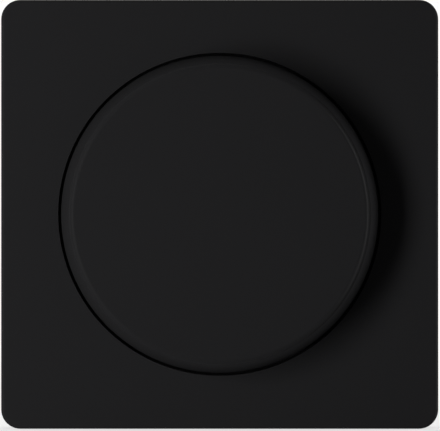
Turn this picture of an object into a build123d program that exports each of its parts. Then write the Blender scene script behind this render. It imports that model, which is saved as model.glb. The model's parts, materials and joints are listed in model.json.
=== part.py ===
from build123d import *
import os
from math import cos, radians, sin, sqrt, tan

# Flush-mounted dimmer: a cover plate and a knob that turns and pushes, in front of a support ring with
# spreading claws and a round insert that holds the potentiometer, the push switch and the circuit.
# X points right and Z up, seen from the room. Y points into the wall, and the wall face is Y = 0.
# A depth in this file runs the other way: positive out of the wall, negative into it.

# Cover plate
plate_width = 81.5
plate_height = 80.0
plate_depth = 10.5
plate_corner = 3.6
plate_wall = 2.0
plate_edge = 0.6
recess_radius = 30.05
recess_depth = 5.0
recess_wall = 1.6
recess_edge = 0.12
floor_thickness = 1.5
plate_rib = 1.2
rib_clearance = 0.8
peg_radius = 1.5
peg_x = 15.0
peg_z = 20.0

# Knob
knob_height = 9.0
knob_gap = 0.5
knob_taper = 1.75
knob_edge = 1.15
knob_wall = 2.0
knob_top = 2.2
knob_rib = 1.2
knob_rib_height = 4.3
hub_radius = 5.0
hub_roof = 1.0
hub_slot = 1.0
hub_slot_length = 3.6
ring_wire = 0.45
push_travel = 2.0
push_gap = 0.5

# Spindle, bush and nuts
spindle_radius = 3.0
spindle_flat = 1.5
spindle_tip = 0.5
running_gap = 0.05
collar_radius = 4.2
collar_thickness = 1.0
drive_radius = 2.0
drive_flat = 1.5
bush_radius = 5.0
bush_hole_gap = 0.2
bush_thread_end = 0.5
flange_radius = 6.5
flange_thickness = 1.0
nut_across_flats = 14.0
plate_nut_height = 2.0
pot_nut_height = 1.8
washer_radius = 8.6
washer_thickness = 0.6
washer_notches = 10
washer_notch_depth = 0.8
washer_notch_width = 1.2

# Potentiometer
can_radius = 8.5
can_sheet = 0.6
turn_range = 300.0
stop_width = 25.0
stop_height = 1.4
rotor_radius = 7.4
rotor_thickness = 1.4
wiper_height = 1.0
wiper_sheet = 0.25
track_thickness = 0.1
track_inner = 5.0
track_outer = 6.4
collector_inner = 3.3
collector_outer = 4.3
board_thickness = 1.0
tongue_width = 12.4
tongue_reach = 1.8
pin_pitch = 5.0
pin_width = 1.0
pin_sheet = 0.5

# Push switch
switch_radius = 7.0
switch_depth = 8.0
switch_wall = 1.0
plunger_thickness = 1.6
plunger_drop = 0.8
stem_radius = 1.5
bridge_inner = 4.0
bridge_thickness = 0.3
contact_circle = 4.6
contact_radius = 0.6
spring_radius = 2.5
spring_wire = 0.25
spring_turns = 4.0

# Support ring
ring_margin = 2.5
ring_thickness = 1.2
ring_corner = 13.0
ring_round = 2.0
box_screw_spacing = 60.0
box_slot_width = 4.0
box_slot_length = 7.0
ring_notch = 3.0

# Insert housing and lid
housing_radius = 26.0
housing_flat = 21.0
housing_wall = 2.0
housing_ledge = 1.5
housing_round = 1.5
lid_thickness = 2.0
fit_gap = 0.2
boss_radius = 3.0
boss_inset = 2.4
boss_angle = 49.7
vent_width = 1.6
vent_length = 20.0
vent_pitch = 3.6
vent_count = 5
housing_screw_radius = 1.25
housing_screw_length = 9.0
housing_head_radius = 2.4
housing_head_height = 1.5

# Circuit
pcb_thickness = 1.6
lead_radius = 0.3
lead_hole = 0.5
triac_length = 9.3
triac_width = 10.0
triac_height = 4.5
triac_gap = 0.8
tab_length = 6.6
tab_thickness = 1.3
leg_pitch = 2.54
leg_width = 0.8
leg_reach = 1.5
pad_thickness = 0.3
rivet_radius = 1.5
rivet_head_radius = 2.8
rivet_head_height = 1.0
choke_height = 6.0
choke_gap = 1.2
choke_bore = 0.48
wall_gap = 1.0
winding_sleeve = 0.25
winding_wire = 0.5
winding_turns = 16
winding_gap = 0.05
fuse_length = 20.0
fuse_x = -1.5
fuse_radius = 2.6
fuse_glass_radius = 2.3
fuse_cap_length = 5.0
fuse_rise = 4.5
clip_sheet = 0.4
clip_width = 4.0
film_width = 13.0
film_gap = 0.2
film_height = 11.0
film_lead_pitch = 10.0
smooth_radius = 4.0
smooth_height = 11.0
smooth_gap = 0.9
smooth_lead_pitch = 3.5
resistor_radius = 1.2
resistor_length = 6.0
resistor_lead_pitch = 8.0
resistor_x = 13.5
resistor_z = 7.25
trimmer_size = 6.6
trimmer_height = 3.6
trimmer_gap = 1.6
adjuster_radius = 1.9
journal_radius = 1.05
adjuster_slot = 0.8

# Terminal block
pole_pitch = 7.5
pole_count = 3
block_depth = 11.0
block_height = 9.4
mouth_inset = 3.5
block_inset = 0.5
block_wall = 0.8
wire_hole_radius = 1.9
wire_hole_length = 3.0
wire_funnel = 0.5
cage_width = 5.2
cage_depth = 5.1
cage_height = 5.9
cage_sheet = 0.8
cage_gap = 0.1
clamp_screw_radius = 1.5
clamp_screw_length = 2.9
clamp_head_radius = 1.9
clamp_head_height = 1.5

# Spreading claws
claw_screw_radius = 1.5
claw_screw_gap = 1.5
claw_z = 7.0
claw_seat = 0.5
claw_head_radius = 2.7
claw_head_cone = 0.6
claw_head_height = 1.2
claw_screw_length = 22.7
claw_thread_depth = 0.2
claw_neck = 3.0
claw_width = 9.0
claw_sheet = 1.4
claw_rest = 15.6
claw_lift = 4.0
claw_swing = 14.0
claw_arm = 5.2
claw_arm_lean = 15.0
claw_collar_radius = 2.3
claw_collar_height = 1.2
claw_teeth = 3
claw_tooth = 1.4
ramp_width = 2.0
ramp_gap = 0.3

ring_size = min(plate_width, plate_height) - 2 * (plate_wall + ring_margin)

# Levels of the front pieces, as depths
floor_front = plate_depth - recess_depth
floor_back = floor_front - floor_thickness
bush_top = floor_front + plate_nut_height + bush_thread_end
skirt_end = floor_front + push_travel + push_gap
hub_end = bush_top + push_travel + push_gap
knob_front = plate_depth + knob_height
knob_inside = knob_front - knob_top
knob_radius = recess_radius - knob_gap
knob_face_radius = knob_radius - knob_taper
spindle_top = knob_inside - hub_roof

# Levels behind the ring, one below the other, as depths
can_front = -lid_thickness
flange_front = can_front - can_sheet
flange_back = flange_front - flange_thickness
collar_front = flange_back - 2 * running_gap
collar_back = collar_front - collar_thickness
rotor_front = collar_back - push_travel - push_gap / 2
rotor_back = rotor_front - rotor_thickness
track_front = rotor_back - wiper_height
board_front = track_front - track_thickness
board_back = board_front - board_thickness
plunger_front = board_back - plunger_drop
plunger_back = plunger_front - plunger_thickness
bridge_back = plunger_back - bridge_thickness
contact_top = bridge_back - push_travel - running_gap
spindle_end = plunger_front + 2 * running_gap
switch_back = board_back - switch_depth
switch_floor = switch_back + switch_wall
stem_end = switch_floor + push_travel + fit_gap
pcb_front = switch_back
pcb_back = pcb_front - pcb_thickness
block_back = pcb_back - block_height
housing_back = block_back - block_inset
housing_floor = housing_back + housing_wall

# Places of the parts in the insert, as X and Z
inner_radius = housing_radius - housing_wall
boss_circle = inner_radius - boss_inset
boss_x = boss_circle * cos(radians(boss_angle))
boss_z = boss_circle * sin(radians(boss_angle))
triac_z = can_radius + triac_gap + triac_width / 2
triac_end = triac_length - 1.3
tab_end = triac_end - triac_length - tab_length
rivet_x = tab_end + tab_length / 2 - 0.4
leg_x = triac_end + leg_reach
choke_wrap = winding_gap + winding_sleeve + winding_wire
choke_room = (inner_radius - wall_gap - switch_radius - choke_gap) / 2
choke_outer = choke_room - choke_wrap
choke_inner = choke_bore * choke_outer
choke_z = switch_radius + choke_gap + choke_room
choke_base = pcb_front + choke_wrap
pin_z = -(can_radius - pin_sheet / 4)
fuse_z = pin_z - 1.0 - fuse_radius
fuse_level = pcb_front + fuse_rise
film_near = -fuse_z + fuse_radius + clip_sheet + film_gap
film_far = sqrt((inner_radius - wall_gap) ** 2 - (film_width / 2) ** 2)
film_thickness = film_far - film_near
film_z = -(film_near + film_far) / 2
smooth_x = -(can_radius + smooth_gap + smooth_radius)
trimmer_x = can_radius + trimmer_gap + trimmer_size / 2
trimmer_top = pcb_front + trimmer_height
block_mouth = housing_radius - mouth_inset
pole_z = -(block_mouth - wire_hole_length - wire_funnel - cage_depth / 2 - cage_gap)
wire_level = pcb_back - 3.7
cage_front = wire_level + cage_height / 2 - 0.15
cage_back = cage_front - cage_height
clamp_seat = cage_back - block_wall

# Places of the claws, for the right one
claw_x = housing_flat + claw_screw_gap + claw_screw_radius
claw_pivot = ring_thickness + claw_seat
claw_shift = claw_pivot * tan(radians(claw_swing))
claw_inner = housing_flat + claw_screw_gap / 3
claw_bend = claw_x + claw_screw_radius + claw_sheet / 10

SPINDLE_AXIS = Axis((0, 0, 0), (0, 1, 0))
MIN_CORNER = (Align.MIN, Align.MIN)


def wall_plane(depth):
    """Plane along the wall at this depth; X runs right, Y up, and extrusions go out into the room."""
    return Plane.XZ.offset(depth)


def section_plane(x, z, side=1):
    """Level plane through x and z; its X runs outward on that side, and its Y out of the wall."""
    return Plane(origin=(x, 0, z), x_dir=(side, 0, 0), z_dir=(0, 0, -side))


def cross_plane(x):
    """Upright plane at this x that looks along X; its X runs up and its Y out of the wall."""
    return Plane(origin=(x, 0, 0), x_dir=(0, 0, 1), z_dir=(1, 0, 0))


def level_plane(z):
    """Level plane at this height; X runs right, Y into the wall, and extrusions go up."""
    return Plane(origin=(0, 0, z), x_dir=(1, 0, 0), z_dir=(0, 0, 1))


def axis_at(x, z):
    """Axis square to the wall through this place."""
    return Axis((x, 0, z), (0, 1, 0))


def half_section(outline, x=0, z=0):
    """Face of a turned piece: a closed outline of radius and depth points beside an axis through x and z."""
    with BuildSketch(section_plane(x, z)) as section:
        with BuildLine():
            Polyline(*outline, close=True)
        make_face()
    return section.sketch


def tube_section(inner, outer, low, high, x=0, z=0):
    """Half section of a plain tube or disc between two depths."""
    return half_section([(inner, low), (outer, low), (outer, high), (inner, high)], x, z)


def screw_section(x, z, seat, way, length, shank, head_radius, head_height):
    """Half section of a pan-head screw with its head on the seat; way is 1 for a head that faces the room."""
    top = seat + way * head_height
    tip = seat - way * length
    edge = head_height / 3
    outline = [(0, top), (head_radius - edge, top), (head_radius, top - way * edge), (head_radius, seat)]
    outline += [(shank, seat), (shank, tip + way * shank / 2), (shank / 2, tip), (0, tip)]
    return half_section(outline, x, z)


def draw_d(radius, flat, gap=0.0):
    """Shaft section with one flat, drawn in the sketch at hand."""
    Circle(radius + gap)
    with Locations((0, flat + gap)):
        Rectangle(2 * radius + 1, 2 * radius, align=(Align.CENTER, Align.MIN), mode=Mode.SUBTRACT)


def draw_double_d(radius, flat, gap=0.0):
    """Shaft section with two flats, drawn in the sketch at hand."""
    Circle(radius + gap)
    Rectangle(2 * (radius + 1), 2 * (flat + gap), mode=Mode.INTERSECT)


def draw_insert(radius, flat):
    """Outline of the insert: a circle with two straight sides."""
    Circle(radius)
    Rectangle(2 * flat, 2 * radius, mode=Mode.INTERSECT)


def draw_cross(reach, width):
    """Cross recess of a screw head."""
    Rectangle(2 * reach, width)
    Rectangle(width, 2 * reach)


# Cover plate: a hollow square with a round cup for the knob
with BuildPart() as cover_plate:
    with BuildSketch(wall_plane(0)):
        RectangleRounded(plate_width, plate_height, plate_corner)
    extrude(amount=plate_depth)
    fillet(cover_plate.faces().sort_by(Axis.Y)[0].edges(), plate_edge)
    inner_width = plate_width - 2 * plate_wall
    inner_height = plate_height - 2 * plate_wall
    inner_corner = max(plate_corner - plate_wall, plate_edge)
    with BuildSketch(wall_plane(0)):
        RectangleRounded(inner_width, inner_height, inner_corner)
    extrude(amount=plate_depth - plate_wall, mode=Mode.SUBTRACT)
    with BuildSketch(wall_plane(floor_back)):
        Circle(recess_radius + recess_wall)
    extrude(amount=plate_depth - plate_wall / 2 - floor_back)
    with BuildSketch(wall_plane(ring_thickness + rib_clearance)):
        with PolarLocations(0, 4, start_angle=0, angular_range=180):
            Rectangle(2 * plate_width, plate_rib)
        Circle(recess_radius + recess_wall / 2, mode=Mode.SUBTRACT)
        reach = inner_width + plate_wall
        RectangleRounded(reach, inner_height + plate_wall, inner_corner, mode=Mode.INTERSECT)
    extrude(amount=plate_depth - plate_wall - ring_thickness - rib_clearance)
    with BuildSketch(wall_plane(floor_front)):
        Circle(recess_radius)
    extrude(amount=recess_depth, mode=Mode.SUBTRACT)
    rim = cover_plate.faces().sort_by(Axis.Y)[0].edges().filter_by(GeomType.CIRCLE).sort_by(SortBy.LENGTH)[-1]
    fillet(rim, recess_edge)
    with BuildSketch(wall_plane(floor_back)):
        Circle(bush_radius + bush_hole_gap)
    extrude(amount=floor_thickness, mode=Mode.SUBTRACT)
    with BuildSketch(wall_plane(fit_gap)):
        with Locations((peg_x, peg_z), (-peg_x, -peg_z)):
            Circle(peg_radius)
    extrude(amount=floor_back - fit_gap)

# Knob: a tapered cap with a slotted hub on ribs
with BuildPart() as knob:
    cap = [(0, knob_front), (knob_face_radius, knob_front), (knob_radius, plate_depth)]
    cap += [(knob_radius, skirt_end), (knob_radius - knob_wall, skirt_end)]
    cap += [(knob_radius - knob_wall, plate_depth), (knob_face_radius - knob_wall, knob_inside)]
    cap += [(0, knob_inside)]
    revolve(half_section(cap), axis=SPINDLE_AXIS)
    fillet(knob.faces().sort_by(Axis.Y)[0].edges(), knob_edge)
    with BuildSketch(wall_plane(knob_inside - knob_rib_height)):
        with PolarLocations(0, 3, start_angle=0, angular_range=180):
            Rectangle(2 * (knob_face_radius - knob_wall / 5), knob_rib)
    extrude(amount=knob_rib_height + knob_top / 4)
    with BuildSketch(wall_plane(hub_end)):
        Circle(hub_radius)
    extrude(amount=knob_inside - hub_end)
    with BuildSketch(wall_plane(hub_end)):
        draw_d(spindle_radius, spindle_flat, running_gap / 2)
    extrude(amount=spindle_top + hub_roof / 3 - hub_end, mode=Mode.SUBTRACT)
    with BuildSketch(wall_plane(hub_end)):
        Rectangle(2 * hub_radius + 1, hub_slot)
    extrude(amount=hub_slot_length, mode=Mode.SUBTRACT)
    ring_level = hub_end + 3 * ring_wire
    groove_low = ring_level - ring_wire
    groove_high = ring_level + ring_wire
    groove = tube_section(hub_radius - ring_wire, hub_radius + 1, groove_low, groove_high)
    revolve(groove, axis=SPINDLE_AXIS, mode=Mode.SUBTRACT)

# Spring ring in the groove of the knob hub, open on one side
with BuildPart() as knob_ring:
    ring_low = groove_low + running_gap
    ring_high = groove_high - running_gap
    band = tube_section(hub_radius - ring_wire + running_gap, hub_radius + ring_wire, ring_low, ring_high)
    revolve(band, axis=SPINDLE_AXIS, revolution_arc=320)

# Spindle: flat at the knob end, a collar under the bush and two flats in the rotor
with BuildPart() as spindle:
    shaft = [(0, spindle_top), (spindle_radius - spindle_tip, spindle_top)]
    shaft += [(spindle_radius, spindle_top - spindle_tip), (spindle_radius, collar_front)]
    shaft += [(collar_radius, collar_front), (collar_radius, collar_back), (drive_radius, collar_back)]
    shaft += [(drive_radius, spindle_end), (0, spindle_end)]
    revolve(half_section(shaft), axis=SPINDLE_AXIS)
    with BuildSketch(wall_plane(hub_end - push_gap / 2)):
        with Locations((0, spindle_flat)):
            Rectangle(4 * spindle_radius, 2 * spindle_radius, align=(Align.CENTER, Align.MIN))
    extrude(amount=spindle_top, mode=Mode.SUBTRACT)
    with BuildSketch(wall_plane(collar_back)):
        Circle(2 * drive_radius)
        Rectangle(5 * drive_radius, 2 * drive_flat, mode=Mode.SUBTRACT)
    extrude(amount=spindle_end - collar_back, mode=Mode.SUBTRACT)

# Bush that the spindle runs in
with BuildPart() as bush:
    sleeve = [(spindle_radius + running_gap, flange_back), (flange_radius, flange_back)]
    sleeve += [(flange_radius, flange_front), (bush_radius, flange_front)]
    sleeve += [(bush_radius, bush_top - bush_thread_end), (bush_radius - bush_thread_end, bush_top)]
    sleeve += [(spindle_radius + running_gap, bush_top)]
    revolve(half_section(sleeve), axis=SPINDLE_AXIS)


def hexagon_nut(base, height):
    """Hexagon nut on the bush, standing on this depth, with its front corners turned off."""
    with BuildPart() as nut:
        with BuildSketch(wall_plane(base)):
            RegularPolygon(nut_across_flats / 2, 6, major_radius=False)
            Circle(bush_radius + running_gap, mode=Mode.SUBTRACT)
        extrude(amount=height)
        corner = nut_across_flats / 2 / cos(radians(30))
        cone = [(0, base), (corner, base), (corner, base + 0.75 * height)]
        cone += [(nut_across_flats / 2 * 0.97, base + height), (0, base + height)]
        revolve(half_section(cone), axis=SPINDLE_AXIS, mode=Mode.INTERSECT)
    return nut


plate_nut = hexagon_nut(floor_front, plate_nut_height)
pot_nut = hexagon_nut(ring_thickness + washer_thickness, pot_nut_height)

# Lock washer with an edge of notches
with BuildPart() as lock_washer:
    with BuildSketch(wall_plane(ring_thickness)):
        Circle(washer_radius)
        Circle(bush_radius + fit_gap, mode=Mode.SUBTRACT)
        with PolarLocations(washer_radius, washer_notches):
            Rectangle(2 * washer_notch_depth, washer_notch_width, mode=Mode.SUBTRACT)
    extrude(amount=washer_thickness)

# Support ring: a steel plate with slots for the box screws and holes for all that passes through it
with BuildPart() as support_ring:
    with BuildSketch(wall_plane(0)) as ring_outline:
        Rectangle(ring_size, ring_size)
        chamfer(ring_outline.vertices(), ring_corner)
        with PolarLocations(ring_size / 2, 4, start_angle=0):
            Circle(ring_notch / 2, mode=Mode.SUBTRACT)
        fillet(ring_outline.vertices(), ring_round / 4)
    extrude(amount=ring_thickness)
    with BuildSketch(wall_plane(0)):
        Circle(bush_radius + bush_hole_gap)
        with PolarLocations(box_screw_spacing / 2, 4):
            SlotOverall(box_slot_length, box_slot_width)
        with Locations((-boss_x, boss_z), (boss_x, -boss_z)):
            Circle(housing_screw_radius + fit_gap)
        with Locations((peg_x, peg_z), (-peg_x, -peg_z)):
            Circle(peg_radius + fit_gap)
        with Locations((rivet_x, triac_z)):
            Circle(rivet_radius + fit_gap / 2)
        with Locations((trimmer_x, 0)):
            Circle(adjuster_radius + fit_gap)
        with Locations((claw_x + claw_shift / 2, claw_z), (-claw_x - claw_shift / 2, -claw_z)):
            SlotCenterToCenter(claw_shift + fit_gap / 2, 2 * (claw_screw_radius + fit_gap))
    extrude(amount=ring_thickness, mode=Mode.SUBTRACT)

# Insert housing: a cup with two flat sides, ramps for the claws, a ledge for the board and a rear notch
with BuildPart() as housing:
    with BuildSketch(wall_plane(housing_back)) as housing_outline:
        draw_insert(housing_radius, housing_flat)
        fillet(housing_outline.vertices(), housing_wall)
    extrude(amount=-housing_back)
    fillet(housing.faces().sort_by(Axis.Y)[-1].edges(), housing_round)
    with BuildSketch(wall_plane(pcb_back)):
        draw_insert(housing_radius - housing_wall, housing_flat - housing_wall)
    extrude(amount=-pcb_back, mode=Mode.SUBTRACT)
    ledge = housing_wall + housing_ledge
    with BuildSketch(wall_plane(housing_floor)):
        draw_insert(housing_radius - ledge, housing_flat - ledge)
    extrude(amount=pcb_back - housing_floor, mode=Mode.SUBTRACT)
    with BuildSketch(wall_plane(housing_floor)):
        with Locations((-boss_x, boss_z), (boss_x, -boss_z)):
            Circle(boss_radius)
        draw_limit = housing_radius - housing_wall / 2
        Circle(draw_limit, mode=Mode.INTERSECT)
    extrude(amount=can_front - housing_floor)
    with BuildSketch(wall_plane(can_front)):
        with Locations((-boss_x, boss_z), (boss_x, -boss_z)):
            Circle(housing_screw_radius + running_gap)
    extrude(amount=-housing_screw_length, mode=Mode.SUBTRACT)
    with BuildSketch(wall_plane(housing_back)):
        with Locations((0, -2 * housing_radius)):
            notch_width = pole_count * pole_pitch + 2 * fit_gap
            notch_height = 2 * housing_radius - block_mouth + block_depth + fit_gap
            Rectangle(notch_width, notch_height, align=(Align.CENTER, Align.MIN))
    extrude(amount=pcb_back - housing_back, mode=Mode.SUBTRACT)
    with BuildSketch(wall_plane(housing_back)):
        with Locations((0, vent_pitch * (vent_count + 1) / 2)):
            with GridLocations(0, vent_pitch, 1, vent_count):
                SlotOverall(vent_length, vent_width)
    extrude(amount=housing_wall, mode=Mode.SUBTRACT)
    swing = radians(claw_swing)
    arm_rise = claw_pivot + claw_rest - claw_lift
    ramp_end_x = claw_x - (claw_x - claw_inner) * cos(swing) + arm_rise * sin(swing) - ramp_gap
    ramp_end = claw_pivot - (claw_x - claw_inner) * sin(swing) - arm_rise * cos(swing) + ramp_gap
    for side in (1, -1):
        for edge in (-1, 1):
            rib_z = side * claw_z + edge * (claw_width - ramp_width) / 2
            with BuildSketch(section_plane(0, rib_z, side)):
                with BuildLine():
                    start = (housing_flat - housing_wall / 2, ramp_gap - claw_rest)
                    bottom = (housing_flat, ramp_gap - claw_rest)
                    top = (ramp_end_x, ramp_end)
                    shoulder = (ramp_end_x, ramp_end + ramp_width)
                    root = (housing_flat - housing_wall / 2, ramp_end + 2 * ramp_width)
                    Polyline(start, bottom, top, shoulder, root, close=True)
                make_face()
            extrude(amount=ramp_width / 2, both=True)

# Lid of the insert, cut away for the power semiconductor
with BuildPart() as insert_lid:
    with BuildSketch(wall_plane(can_front)):
        draw_insert(housing_radius - housing_wall - fit_gap, housing_flat - housing_wall - fit_gap)
        Circle(bush_radius + bush_hole_gap, mode=Mode.SUBTRACT)
        with Locations((-boss_x, boss_z), (boss_x, -boss_z)):
            Circle(housing_screw_radius + fit_gap, mode=Mode.SUBTRACT)
        with Locations((trimmer_x, 0)):
            Circle(adjuster_radius + fit_gap, mode=Mode.SUBTRACT)
        with Locations(((triac_end + tab_end) / 2, triac_z - triac_width / 2 - 2 * fit_gap)):
            window = (triac_length + tab_length + 4 * fit_gap, housing_radius)
            Rectangle(*window, align=(Align.CENTER, Align.MIN), mode=Mode.SUBTRACT)
    extrude(amount=lid_thickness)

# Two screws that hold the ring, the lid and the housing together
with BuildPart() as housing_screws:
    for x, z in ((-boss_x, boss_z), (boss_x, -boss_z)):
        length = housing_screw_length
        blank = screw_section(
            x, z, ring_thickness, 1, length, housing_screw_radius, housing_head_radius, housing_head_height
        )
        revolve(blank, axis=axis_at(x, z))
        with BuildSketch(wall_plane(ring_thickness + housing_head_height)):
            with Locations((x, z)):
                draw_cross(0.65 * housing_head_radius, 0.3 * housing_head_radius)
        extrude(amount=-0.6 * housing_head_height, mode=Mode.SUBTRACT)

# Can of the potentiometer, with a stop for the rotor and an opening for the tongue of the board
with BuildPart() as pot_can:
    can_inner = can_radius - can_sheet
    shell = [(bush_radius + running_gap, can_front), (can_radius, can_front), (can_radius, board_back)]
    shell += [(can_inner, board_back), (can_inner, flange_front), (bush_radius + running_gap, flange_front)]
    revolve(half_section(shell), axis=SPINDLE_AXIS)
    fillet(pot_can.faces().sort_by(Axis.Y)[0].edges().sort_by(SortBy.LENGTH)[-1], can_sheet)
    with BuildSketch(wall_plane(rotor_front + push_gap)):
        with BuildLine():
            stop_start = -90 - stop_width / 2
            stop_inner = CenterArc((0, 0), rotor_radius - can_radius / 5, stop_start, stop_width)
            stop_outer = CenterArc((0, 0), can_inner + can_sheet / 2, stop_start, stop_width)
            Line(stop_inner @ 0, stop_outer @ 0)
            Line(stop_inner @ 1, stop_outer @ 1)
        make_face()
    extrude(amount=stop_height)
    with BuildSketch(wall_plane(board_back)):
        Rectangle(tongue_width + fit_gap, 2 * can_radius, align=(Align.CENTER, Align.MAX))
    extrude(amount=board_thickness + fit_gap / 2, mode=Mode.SUBTRACT)

# Rotor that the spindle turns and slides through
with BuildPart() as wiper_rotor:
    with BuildSketch(wall_plane(rotor_back)):
        Circle(rotor_radius)
    extrude(amount=rotor_thickness)
    finger_start = -90 - stop_width / 2 - (360 - turn_range - 2 * stop_width) / 2 - stop_width
    with BuildSketch(wall_plane(rotor_front)):
        with BuildLine():
            finger_inner = CenterArc((0, 0), rotor_radius - can_radius / 5, finger_start, stop_width)
            finger_outer = CenterArc((0, 0), rotor_radius, finger_start, stop_width)
            Line(finger_inner @ 0, finger_outer @ 0)
            Line(finger_inner @ 1, finger_outer @ 1)
        make_face()
    extrude(amount=push_gap + stop_height)
    with BuildSketch(wall_plane(rotor_back)):
        draw_double_d(drive_radius, drive_flat, running_gap)
    extrude(amount=rotor_thickness, mode=Mode.SUBTRACT)

# Wiper under the rotor: a strip with one contact on the track and one on the collector
with BuildPart() as wiper_contact:
    wiper_angle = finger_start + stop_width / 2
    strip_inner = collector_inner - 0.3
    with BuildSketch(wall_plane(rotor_back - wiper_sheet)):
        with PolarLocations(strip_inner, 1, start_angle=wiper_angle):
            Rectangle(track_outer - strip_inner, 2.4, align=(Align.MIN, Align.CENTER))
    extrude(amount=wiper_sheet)
    with BuildSketch(wall_plane(track_front + running_gap)):
        with PolarLocations((track_inner + track_outer) / 2, 1, start_angle=wiper_angle):
            Circle(0.5)
        with PolarLocations((collector_inner + collector_outer) / 2, 1, start_angle=wiper_angle):
            Circle(0.4)
    extrude(amount=wiper_height - running_gap - wiper_sheet)

# Track board that closes the can, with a tongue for the pins
with BuildPart() as track_board:
    with BuildSketch(wall_plane(board_back)):
        Circle(can_inner - running_gap)
        with Locations((0, -(can_radius + tongue_reach))):
            Rectangle(tongue_width, can_radius, align=(Align.CENTER, Align.MIN))
        Circle(drive_radius + 3 * fit_gap, mode=Mode.SUBTRACT)
    extrude(amount=board_thickness)

# Carbon track and collector ring on the board
with BuildPart() as resistive_track:
    with BuildSketch(wall_plane(board_front)):
        Circle(track_outer)
        Circle(track_inner, mode=Mode.SUBTRACT)
        Rectangle(2, 2 * track_outer, align=(Align.CENTER, Align.MAX), mode=Mode.SUBTRACT)
    extrude(amount=track_thickness)
    with BuildSketch(wall_plane(board_front)):
        Circle(collector_outer)
        Circle(collector_inner, mode=Mode.SUBTRACT)
    extrude(amount=track_thickness)

# Three pins from the tongue to the circuit board
pin_places = [(i * pin_pitch, pin_z) for i in (-1, 0, 1)]
with BuildPart() as pot_pins:
    with BuildSketch(wall_plane(pcb_back)):
        with Locations(*pin_places):
            Rectangle(pin_width, pin_sheet)
    extrude(amount=board_back - pcb_back)

# Push switch: a cup on the circuit board, closed by the track board
contact_places = [(-contact_circle, 0), (contact_circle, 0)]
with BuildPart() as switch_case:
    with BuildSketch(wall_plane(switch_back)):
        Circle(switch_radius)
    extrude(amount=switch_depth)
    with BuildSketch(wall_plane(switch_floor)):
        Circle(switch_radius - switch_wall)
    extrude(amount=switch_depth - switch_wall, mode=Mode.SUBTRACT)
    with BuildSketch(wall_plane(switch_back)):
        with Locations(*contact_places):
            Circle(contact_radius + running_gap)
    extrude(amount=switch_wall, mode=Mode.SUBTRACT)

# Plunger that the end of the spindle presses
with BuildPart() as switch_plunger:
    guide = switch_radius - switch_wall - 2 * running_gap
    plug = [(0, plunger_front), (guide, plunger_front), (guide, plunger_back), (stem_radius, plunger_back)]
    plug += [(stem_radius, stem_end), (0, stem_end)]
    revolve(half_section(plug), axis=SPINDLE_AXIS)

# Contact bridge under the plunger, which joins the two contacts when the knob is pushed
with BuildPart() as contact_bridge:
    bridge_outer = 2 * contact_circle - bridge_inner
    revolve(tube_section(bridge_inner, bridge_outer, bridge_back, plunger_back), axis=SPINDLE_AXIS)

# Two fixed contacts that run down to the circuit board
with BuildPart() as switch_contacts:
    with BuildSketch(wall_plane(pcb_back)):
        with Locations(*contact_places):
            Circle(contact_radius)
    extrude(amount=contact_top - pcb_back)

# Return spring between the plunger and the floor of the switch
spring_low = switch_floor + spring_wire
spring_high = plunger_back - spring_wire
spring_pitch = (spring_high - spring_low) / spring_turns
with BuildPart() as return_spring:
    with BuildLine() as coil:
        spring_height = spring_high - spring_low
        Helix(spring_pitch, spring_height, spring_radius, center=(0, -spring_low, 0), direction=(0, -1, 0))
    with BuildSketch(Plane(origin=coil.line @ 0, z_dir=coil.line % 0)):
        Rectangle(2 * spring_wire * 0.9, 2 * spring_wire * 0.9)
    sweep(is_frenet=True)

# Circuit board with holes for all the leads and room for the two bosses
leg_places = [(leg_x, triac_z + i * leg_pitch) for i in (-1, 0, 1)]
film_leads = [(-film_lead_pitch / 2, film_z), (film_lead_pitch / 2, film_z)]
smooth_leads = [(smooth_x, -smooth_lead_pitch / 2), (smooth_x, smooth_lead_pitch / 2)]
resistor_places = [(sx * resistor_x, sz * resistor_z) for sx in (-1, 1) for sz in (-1, 1)]
resistor_leads = [(x + end * resistor_lead_pitch / 2, z) for x, z in resistor_places for end in (-1, 1)]
pole_places = [((i - (pole_count - 1) / 2) * pole_pitch, pole_z) for i in range(pole_count)]
with BuildPart() as circuit_board:
    with BuildSketch(wall_plane(pcb_back)):
        draw_insert(housing_radius - housing_wall - 2 * fit_gap, housing_flat - housing_wall - 2 * fit_gap)
        with Locations((-boss_x, boss_z), (boss_x, -boss_z)):
            Circle(boss_radius + fit_gap, mode=Mode.SUBTRACT)
        with Locations(*contact_places):
            Circle(contact_radius + fit_gap, mode=Mode.SUBTRACT)
        with Locations(*pin_places, *leg_places):
            Circle(pin_width / 2 + fit_gap, mode=Mode.SUBTRACT)
        with Locations(*film_leads, *smooth_leads, *resistor_leads):
            Circle(lead_hole, mode=Mode.SUBTRACT)
        with Locations(*pole_places):
            Circle(cage_sheet, mode=Mode.SUBTRACT)
    extrude(amount=pcb_thickness)

# Insulating pad between the ring and the power semiconductor
with BuildPart() as triac_pad:
    with BuildSketch(wall_plane(-pad_thickness)):
        with Locations(((triac_end + tab_end) / 2, triac_z)):
            Rectangle(triac_length + tab_length + fit_gap, triac_width + fit_gap)
        with Locations((rivet_x, triac_z)):
            Circle(rivet_radius + fit_gap / 2, mode=Mode.SUBTRACT)
    extrude(amount=pad_thickness)

# Body of the power semiconductor
with BuildPart() as triac_body:
    with BuildSketch(wall_plane(-pad_thickness)):
        with Locations((triac_end, triac_z)):
            Rectangle(triac_length, triac_width, align=(Align.MAX, Align.CENTER))
    extrude(amount=-triac_height, taper=3)
    fillet(triac_body.faces().sort_by(Axis.Y)[-1].edges(), 0.4)

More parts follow.
